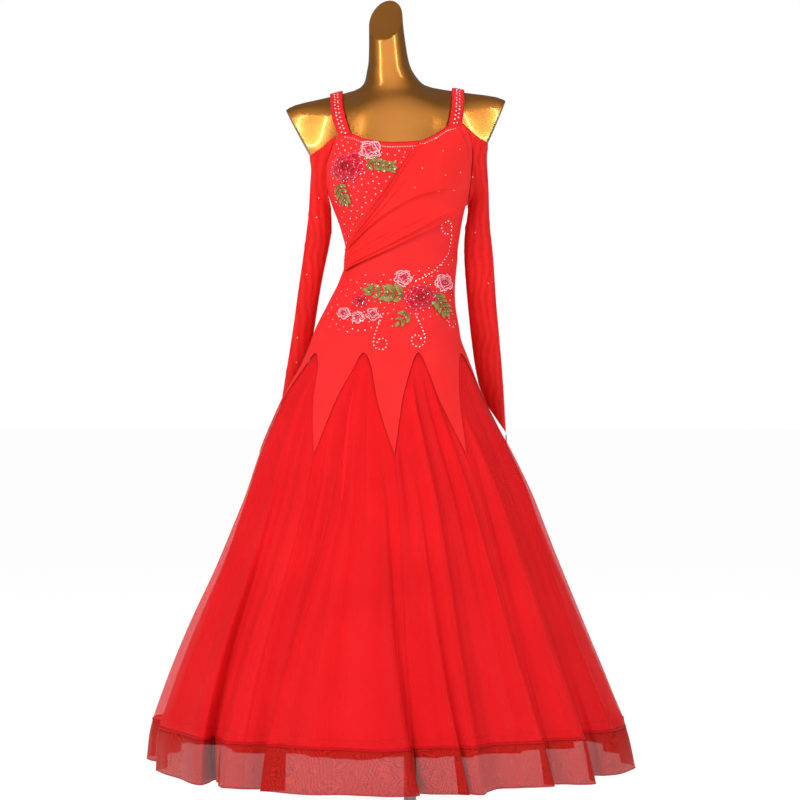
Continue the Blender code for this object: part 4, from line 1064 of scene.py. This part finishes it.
def strap_line(tree, x, turn):
    """Points over the shoulder at given x and turns about the strap's axis, and their facings."""
    spots, facings = [], []
    for at, way_turn in zip(x, turn):
        way = Vector((0.0, -math.cos(way_turn), math.sin(way_turn)))
        hit, facing = tree.ray_cast(Vector((at, *STRAP_AXIS)), way)[:2]
        spots.append(hit)
        facings.append(facing if facing.dot(way) > 0.0 else -facing)
    return np.array(spots), np.array(facings)


def strap_end(tree, x, front):
    """The turn at which a strap reaches just below the bodice's edge."""
    height = curve(NECK_FRONT if front else NECK_BACK, 1)(x) - STRAP_OVERLAP
    turn = 0.3
    for _ in range(5):
        spot = strap_line(tree, [x], [turn if front else math.pi - turn])[0][0]
        turn = math.atan2(height - STRAP_AXIS[1], abs(spot[1] - STRAP_AXIS[0]))
    return turn if front else math.pi - turn


def build_straps():
    """Straps over the shoulders, with two staggered rows of stones on each."""
    tree = BVHTree.FromObject(bpy.data.objects["form_gold"], bpy.context.evaluated_depsgraph_get())
    stones = [[], []]
    for node, (front_x, crest_x, back_x) in STRAPS.items():
        pull = 2.0 * crest_x - 0.5 * (front_x + back_x)
        share = steps(72)
        middle = front_x * (1 - share) ** 2 + 2 * pull * share * (1 - share) + back_x * share ** 2
        ends = [strap_end(tree, x, front) for x, front in ((front_x, True), (back_x, False))]
        lines, facings = [], []
        for side in np.linspace(1.0, -1.0, 9):
            half = STRAP_WIDTH / 2 * (1.0 + 0.035 * np.sin(64.0 * share + 1.5 * side))
            line, facing = strap_line(tree, middle + side * half, mix(ends[0], ends[1], share))
            puff = 0.0006 * (1.0 - side * side) + 0.0003 * np.sin(64.0 * share + 3.0 * side)
            lines.append(line + facing * (STRAP_RISE + puff)[:, None])
            facings.append(facing)
        points, facings = np.stack(lines, 1), np.stack(facings, 1)
        reached = run_of(points[:, 4])
        for column, start in ((3, 0.004), (5, 0.004 + STONE_PITCH / 2)):
            at = np.arange(start, reached[-1] - 0.003, STONE_PITCH)
            at = np.interp(at, reached, np.arange(len(reached))).round().astype(int)
            stones[0].append(points[at, column] + facings[at, column] * 0.0003)
            stones[1].append(facings[at, column])
        make_cloth(node + "_crepe", points, STRAP_WALL, STRAP, "strap_red", node)
    return np.concatenate(stones[0]), np.concatenate(stones[1])


def build_loops():
    """The elastic loops at the cuffs' points, as large as their solids."""
    for node in ("finger_loop_right", "finger_loop_left"):
        low, high = (np.array(corner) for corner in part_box(node))
        centre, half = (low + high) / 2, (high - low) / 2
        turn = np.linspace(0.0, 2.0 * math.pi, 40, endpoint=False)
        line = place(centre[0] + 0.0 * turn, centre[1] + (half[1] - CORD) * np.sin(turn),
                     centre[2] + (half[2] - CORD) * np.cos(turn))
        thing = build_piping(node + "_elastic", line, CORD, ROLLED, "mesh_red", closed=True)
        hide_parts(node)


# Embroidery and stones


def flat_grid(along_count, over_count):
    along, over = np.meshgrid(steps(along_count), np.linspace(-1.0, 1.0, over_count + 1), indexing="ij")
    return along, over


def unit_uv(thing):
    """Stretch a sheet's UV map over the whole unit square."""
    layer = thing.data.uv_layers[0].data
    uv = np.empty(len(layer) * 2, np.float32)
    layer.foreach_get("uv", uv)
    scale_uv(thing, 1.0 / uv.reshape(-1, 2).max(axis=0))
    return thing


def lay_blade(name, across, along, lift, x, height, turn):
    """A leaf: local coordinates turned about a place on the bodice's front."""
    dx = across * math.cos(turn) + along * math.sin(turn)
    dz = -across * math.sin(turn) + along * math.cos(turn)
    return unit_uv(lay_sheet(name, front_point(x + dx, height + dz, lift)[::-1]))


def finish_embroidery(parts, node, material, slot):
    thing = join(parts, node + "_embroidery")
    weld(thing, 0.00001)
    thicken(thing, EMBROIDERY_WALL)
    dress_with(thing, material, slot, node)


def build_flower(node):
    """Rings of ruffled petals that lap each other, no two alike, round a small heart."""
    x, height, radius, count, finish = FLOWERS[node]
    rng = np.random.default_rng(round(1e4 * (abs(x) + height)))
    tall = rng.uniform(0.82, 0.95)
    petals = []
    along, over = flat_grid(9, 8)
    for ring, (start, end, width, lift, lean) in enumerate(PETAL_RINGS):
        number = count - (ring == 2)
        for k in range(number):
            turn = 2.0 * math.pi * (k + lean) / number + 0.4 * ring + rng.uniform(-0.22, 0.22)
            size, slant, ruffle = rng.uniform(0.84, 1.10), rng.uniform(-0.25, 0.25), rng.uniform(0.0, 6.0)
            edge = (1.0 - 0.13 * np.exp(-((over - slant) / 0.28) ** 2) - 0.22 * over ** 2
                    + 0.05 * np.sin(9.0 * over + ruffle))
            reach = radius * size * mix(start, end * edge, along)
            half = radius * size * width * 1.3 * (5.0 / number) * (0.22 + 0.78 * along ** 0.75)
            rise = (lift + 0.00025 * (k % 2) + 0.0010 * np.sin(2.4 * along)
                    + 0.0004 * along ** 3 * np.sin(7.0 * over + ruffle))
            flat_x = (half * over * math.cos(turn) + reach * math.sin(turn))
            flat_z = (reach * math.cos(turn) - half * over * math.sin(turn)) * tall
            points = front_point(x + flat_x, height + flat_z, LAID_ON + rise)[::-1]
            petals.append(unit_uv(lay_sheet(node + "_petal", points)))
    turn = math.pi * np.linspace(-1.0, 1.0, 13) * np.ones((7, 1))
    out = steps(6)[:, None] * np.ones(13)
    rise = 0.0036 + 0.0008 * np.sqrt(1.0 - out ** 2) + 0.0003 * np.cos(6.0 * turn) * out
    heart = front_point(x + radius * 0.15 * out * np.sin(turn), height + radius * 0.15 * out * np.cos(turn),
                        LAID_ON + rise)
    petals.append(unit_uv(lay_sheet(node + "_heart", heart[::-1])))
    finish_embroidery(petals, node, PETALS[finish], "petal_red")


def build_sprig(node):
    """Pointed leaves in pairs along a stem, each with a raised rib."""
    (root_x, root_z), (tip_x, tip_z), leaf, pairs = SPRIGS[node]
    rng = np.random.default_rng(round(1e4 * (abs(root_x) + root_z)))
    heading = math.atan2(tip_x - root_x, tip_z - root_z)
    length = math.hypot(tip_x - root_x, tip_z - root_z)
    along, over = flat_grid(10, 6)
    half = np.sin(math.pi * np.clip(along, 0.001, 0.999) ** 0.8) * (1.0 + 0.07 * np.cos(20.0 * along))
    rib = 0.0011 * (1.0 - over ** 2) - 0.0006 * np.exp(-(over / 0.18) ** 2)
    blades = []

    def add(name, across, ahead, lift, share, turn):
        blades.append(lay_blade(node + name, across, ahead, LAID_ON + lift,
                                mix(root_x, tip_x, share), mix(root_z, tip_z, share), turn))

    for number in range(pairs):
        share = (number + 0.25) / pairs
        for side in (-1, 1):
            size = leaf * (1.0 - 0.25 * share) * rng.uniform(0.88, 1.15)
            turn = heading + side * math.radians(44.0 - 10.0 * share + rng.uniform(-7.0, 7.0))
            bend = side * 0.10 * size * np.sin(math.pi * along)
            add("_leaf", 0.21 * size * half * over + bend, size * along,
                0.0007 + 0.0003 * (number % 2) + rib, share, turn)
    add("_tip", 0.20 * leaf * half * over, leaf * 0.85 * along, 0.0010 + rib, 0.85, heading)
    add("_stem", 0.0010 * over * (1.0 - 0.5 * along), length * along,
        0.0018 + 0.0006 * (1.0 - over ** 2), 0.0, heading)
    finish_embroidery(blades, node, LEAF, "leaf_olive")


def base_shape(adder):
    """Corners and faces of a small shape that is copied many times."""
    bpy.ops.object.select_all(action="DESELECT")
    adder()
    thing = bpy.context.object
    corners = np.array([vertex.co[:] for vertex in thing.data.vertices])
    faces = [tuple(face.vertices) for face in thing.data.polygons]
    bpy.data.objects.remove(thing, do_unlink=True)
    return corners, faces


def copies(name, shape, spots, normals, alongs, sizes, material, slot):
    """One mesh of many copies of a small shape, each standing on its spot."""
    corners, faces = shape
    normals, alongs = unit(np.asarray(normals, float)), np.asarray(alongs, float)
    alongs = unit(alongs - normals * (alongs * normals).sum(-1, keepdims=True))
    across = np.cross(normals, alongs)
    turned = (corners[None, :, 0, None] * alongs[:, None] + corners[None, :, 1, None] * across[:, None]
              + corners[None, :, 2, None] * normals[:, None])
    made = np.asarray(spots)[:, None] + turned * np.asarray(sizes).reshape(-1, 1, 1)
    count = len(corners)
    mesh = bpy.data.meshes.new(name)
    mesh.from_pydata(made.reshape(-1, 3).tolist(), [],
                     [tuple(v + count * n for v in face) for n in range(len(made)) for face in faces])
    mesh.update()
    thing = bpy.data.objects.new(name, mesh)
    bpy.context.collection.objects.link(thing)
    dress_with(thing, material, slot)


def thin_out(points, spacing, rng):
    """Indices of points in a random order that lie at least a spacing apart."""
    kept = []
    for i in rng.permutation(len(points)):
        if all(np.linalg.norm(points[i] - points[k]) >= spacing for k in kept):
            kept.append(i)
    return kept


def spaced_line(line, spacing):
    """Points at even distances along a line of x and height pairs."""
    line = np.asarray(line, float)
    reached = run_of(line)
    return read_run(np.arange(0.0, reached[-1], spacing), reached, line)


def curl_line(start, middle, wide, narrow, turns, hand):
    """A line that runs down from its start and rolls up in a spiral."""
    share = steps(60)
    turn = (math.pi if hand > 0 else 0.0) + hand * 2.0 * math.pi * turns * share
    roll = np.array(middle) + mix(wide, narrow, share)[:, None] * np.stack([np.cos(turn), np.sin(turn)], -1)
    first, drop = np.array(start), (start[1] - middle[1]) * 0.9
    t = steps(24)[:-1, None]
    lead = ((2 * t ** 3 - 3 * t ** 2 + 1) * first
            + (t ** 3 - 2 * t ** 2 + t) * np.array([-0.4 * hand * drop, -drop])
            + (3 * t ** 2 - 2 * t ** 3) * roll[0] + (t ** 3 - t ** 2) * np.array([0.0, -drop]))
    return np.concatenate([lead, roll])


def build_stones(strap_stones, sleeve_skins):
    """Faceted stones in rows, curls and scatter, each seated on the cloth under it."""
    rng = np.random.default_rng(11)
    stone = base_shape(lambda: bpy.ops.mesh.primitive_cone_add(
        vertices=8, radius1=1.0, radius2=0.52, depth=STONE_HEIGHT, location=(0.0, 0.0, STONE_HEIGHT / 2)))
    graph = bpy.context.evaluated_depsgraph_get()
    under = ["bodice_front_crepe", "sash_crepe"] + [node + "_embroidery" for node in [*FLOWERS, *SPRIGS]]
    layers = [BVHTree.FromObject(bpy.data.objects[name], graph) for name in under]

    def on_front(name, pairs, size):
        pairs = np.asarray(pairs, float)
        starts = front_point(pairs[:, 0], pairs[:, 1], 0.04)
        ways = -front_normal(pairs[:, 0], pairs[:, 1])
        spots, normals = [], []
        for start, way in zip(starts, ways):
            hits = [layer.ray_cast(Vector(start), Vector(way), 0.06) for layer in layers]
            hits = [hit for hit in hits if hit[0]]
            if hits:
                spot, facing = min(hits, key=lambda hit: hit[3])[:2]
                spots.append(spot)
                normals.append(facing if facing.dot(Vector(way)) < 0.0 else -facing)
        spots, normals = np.array(spots), np.array(normals)
        sizes = size * rng.uniform(0.85, 1.15, len(spots))
        copies(name, stone, spots, normals, rng.normal(size=spots.shape), sizes, STONE, "strap_red")

    def scattered(x_low, x_high, low, high, count):
        return np.stack([rng.uniform(x_low, x_high, count), rng.uniform(low, high, count)], -1)

    x = np.linspace(-0.1130, 0.0800, 200)
    line = np.stack([x, curve(NECK_FRONT, 1)(x) - 0.0080], -1)
    on_front("stones_neckline", spaced_line(line, 0.0043), 0.0015)

    tried = scattered(-0.145, 0.030, 1.035, 1.225, 3000)
    edge_x = np.interp(tried[:, 1], *CHEST_EDGE)
    low_x = np.interp(tried[:, 1], *CHEST_SIDE)
    top = curve(NECK_FRONT, 1)(tried[:, 0]) - 0.014
    tried = tried[(tried[:, 0] < edge_x - 0.004) & (tried[:, 0] > low_x) & (tried[:, 1] < top)]
    on_front("stones_chest", tried[thin_out(tried, 0.0086, rng)], 0.0017)
    tried = scattered(0.0, 0.085, 1.12, 1.20, 400)
    on_front("stones_sash", tried[thin_out(tried, 0.026, rng)], 0.0013)

    lines = [spaced_line(STONE_STEM, 0.0064)]
    eye, turn = np.array([0.0635, 1.0640]), np.linspace(-0.4, 4.9, 11)
    lines.append(eye + np.stack([0.0090 * np.cos(turn), 0.0115 * np.sin(turn)], -1))
    lines += [spaced_line(curl_line(*curl), 0.0064) for curl in CURLS]
    on_front("stones_hip_scroll", np.concatenate(lines), 0.0018)

    tried = scattered(-0.148, 0.075, 0.850, 1.010, 3000)
    middle = np.interp(tried[:, 0], HIP_BELT[0], HIP_BELT[1])
    width = np.interp(tried[:, 0], HIP_BELT[0], HIP_BELT[2])
    tried = tried[np.abs(tried[:, 1] - middle) < width * np.sqrt(rng.uniform(0.0, 1.0, len(tried)))]
    on_front("stones_hip", tried[thin_out(tried, 0.0098, rng)], 0.0015)

    beads = []
    for fx, fz, radius, _, _ in FLOWERS.values():
        for ring, number in ((0.95, round(radius * 500)), (0.5, round(radius * 250))):
            for k in range(number):
                turn = 2.0 * math.pi * (k + rng.uniform(-0.2, 0.2)) / number
                beads.append((fx + ring * radius * math.sin(turn), fz + 0.9 * ring * radius * math.cos(turn)))
    for (root_x, root_z), (tip_x, tip_z), leaf, pairs in SPRIGS.values():
        for share in (np.arange(2 * pairs) + 0.5) / (2 * pairs):
            beads.append((mix(root_x, tip_x, share) + rng.uniform(-0.3, 0.3) * leaf,
                          mix(root_z, tip_z, share) + rng.uniform(-0.3, 0.3) * leaf))
    on_front("stones_embroidery", beads, 0.0011)

    spots, facings = strap_stones
    copies("stones_straps", stone, spots, facings, rng.normal(size=spots.shape),
           0.0019 * np.ones(len(spots)), STONE, "strap_red")
    for name, (points, normals) in sleeve_skins.items():
        wide = np.array([i for i in rng.permutation(len(points))[:1500] if points[i, 2] > 0.76])
        kept = wide[thin_out(points[wide], 0.027, rng)]
        copies("stones_" + name, stone, points[kept], normals[kept], rng.normal(size=(len(kept), 3)),
               0.0014 * np.ones(len(kept)), STONE, "mesh_red")


def build_stitching(front_points, back_points):
    """Stitches along the neckline and the zigzag hip seam."""
    stitch = base_shape(lambda: bpy.ops.mesh.primitive_uv_sphere_add(segments=6, ring_count=4, radius=1.0))
    stitch = (stitch[0] * STITCH, stitch[1])
    spots, normals, alongs = [], [], []
    for points, row, next_row, inset in ((front_points, 0, 4, 0.0045), (back_points, 0, 4, 0.0045),
                                         (front_points, -1, -3, 0.0022), (back_points, -1, -3, 0.0022)):
        line = points[row]
        reached = run_of(line)
        at = np.arange(0.002, reached[-1] - 0.002, STITCH_PITCH)
        on = read_run(at, reached, line)
        towards = unit(read_run(at, reached, points[next_row] - line))
        ahead = unit(read_run(at + 0.001, reached, line) - on)
        facing = unit(np.cross(ahead, towards)) * (-1 if row == 0 else 1)
        outward = on - np.array([-0.03, 0.0, 0.0]) - np.array([0.0, 0.0, 1.0]) * on[:, 2:]
        facing = facing * np.sign((facing * outward).sum(-1, keepdims=True))
        spots.append(on + towards * inset + facing * 0.0001)
        normals.append(facing)
        alongs.append(ahead)
    spots, normals, alongs = map(np.concatenate, (spots, normals, alongs))
    copies("seam_stitches", stitch, spots, normals, alongs, np.ones(len(spots)), THREAD, "crepe_red")


# Stage


def build_stage():
    """White floor and backdrop, soft lamps for the cloth and two tall strips for the gold."""
    bpy.ops.object.select_all(action="DESELECT")
    bpy.ops.mesh.primitive_circle_add(vertices=64, radius=60.0, fill_type="NGON", location=(0.0, 0.0, 0.0))
    floor = bpy.context.object
    floor.name = "studio_floor"
    material, _, _ = new_material("studio_floor", Base_Color=(0.25, 0.25, 0.25, 1.0), Roughness=0.9,
                                  Emission_Color=(1.0, 1.0, 1.0, 1.0), Emission_Strength=0.86)
    floor.data.materials.append(material)
    world = bpy.data.worlds.new("studio")
    world.use_nodes = True
    bpy.context.scene.world = world
    tree = world.node_tree
    link = tree.links.new
    back = tree.nodes["Background"]
    path = tree.nodes.new("ShaderNodeLightPath")
    where = tree.nodes.new("ShaderNodeTexCoord")
    apart = add_node(tree, "ShaderNodeSeparateXYZ")
    link(where.outputs["Generated"], apart.inputs[0])
    mirrored = add_node(tree, "ShaderNodeMapRange", interpolation_type="SMOOTHSTEP",
                        From_Min=-1.0, From_Max=0.20, To_Min=1.02, To_Max=0.12)
    link(apart.outputs["Y"], mirrored.inputs["Value"])
    soft = add_node(tree, "ShaderNodeMix", data_type="FLOAT")
    soft.inputs[2].default_value = 0.40
    link(path.outputs["Is Glossy Ray"], soft.inputs[0])
    link(mirrored.outputs[0], soft.inputs[3])
    seen = add_node(tree, "ShaderNodeMix", data_type="FLOAT")
    seen.inputs[3].default_value = 1.0
    link(path.outputs["Is Camera Ray"], seen.inputs[0])
    link(soft.outputs[0], seen.inputs[2])
    back.inputs["Color"].default_value = (1.0, 1.0, 1.0, 1.0)
    link(seen.outputs[0], back.inputs["Strength"])
    for name, at, size, tall, energy, mirrored_too in (
            ("key", (-2.4, -3.0, 2.6), 1.2, 1.2, 105.0, False),
            ("fill", (2.4, -3.0, 1.5), 1.6, 1.6, 40.0, False),
            ("top", (0.0, -0.2, 3.6), 2.0, 2.0, 26.0, False),
            ("back", (0.4, 3.2, 2.2), 2.0, 2.0, 26.0, False),
            ("strip_left", (-2.1, -1.6, 2.3), 0.10, 3.4, 18.0, True),
            ("strip_right", (2.1, -1.6, 2.3), 0.10, 3.4, 18.0, True)):
        lamp = bpy.data.lights.new(name, "AREA")
        lamp.shape = "RECTANGLE"
        lamp.size, lamp.size_y = size, tall
        lamp.energy = energy
        thing = bpy.data.objects.new(name, lamp)
        thing.location = at
        aim = Vector((0.0, 0.0, at[2] if mirrored_too else 0.8))
        thing.rotation_euler = (aim - Vector(at)).to_track_quat("-Z", "Y").to_euler()
        thing.visible_glossy = mirrored_too
        bpy.context.collection.objects.link(thing)
    camera = bpy.data.objects.new("camera", bpy.data.cameras.new("camera"))
    camera.data.lens = 107.0
    camera.data.sensor_width = 36.0
    camera.location = (-0.01765, -4.2, 0.763)
    camera.rotation_euler = (math.radians(90.0), 0.0, 0.0)
    bpy.context.collection.objects.link(camera)
    bpy.context.scene.camera = camera
    bpy.context.scene.view_settings.view_transform = "Standard"


build_form()
front_points = build_bodice(True)
back_points = build_bodice(False)
build_drape()
build_skirt()
sleeve_skins = {node: build_sleeve(node, side)
                for node, side in (("sleeve_right", -1), ("sleeve_left", 1))}
strap_stones = build_straps()
build_loops()
for node in FLOWERS:
    build_flower(node)
for node in SPRIGS:
    build_sprig(node)
build_piping("neckline_roll_front", front_points[0], CORD, STRAP, "crepe_red")
build_piping("neckline_roll_back", back_points[0], CORD, STRAP, "crepe_red")
build_stones(strap_stones, sleeve_skins)
build_stitching(front_points, back_points)
build_stage()
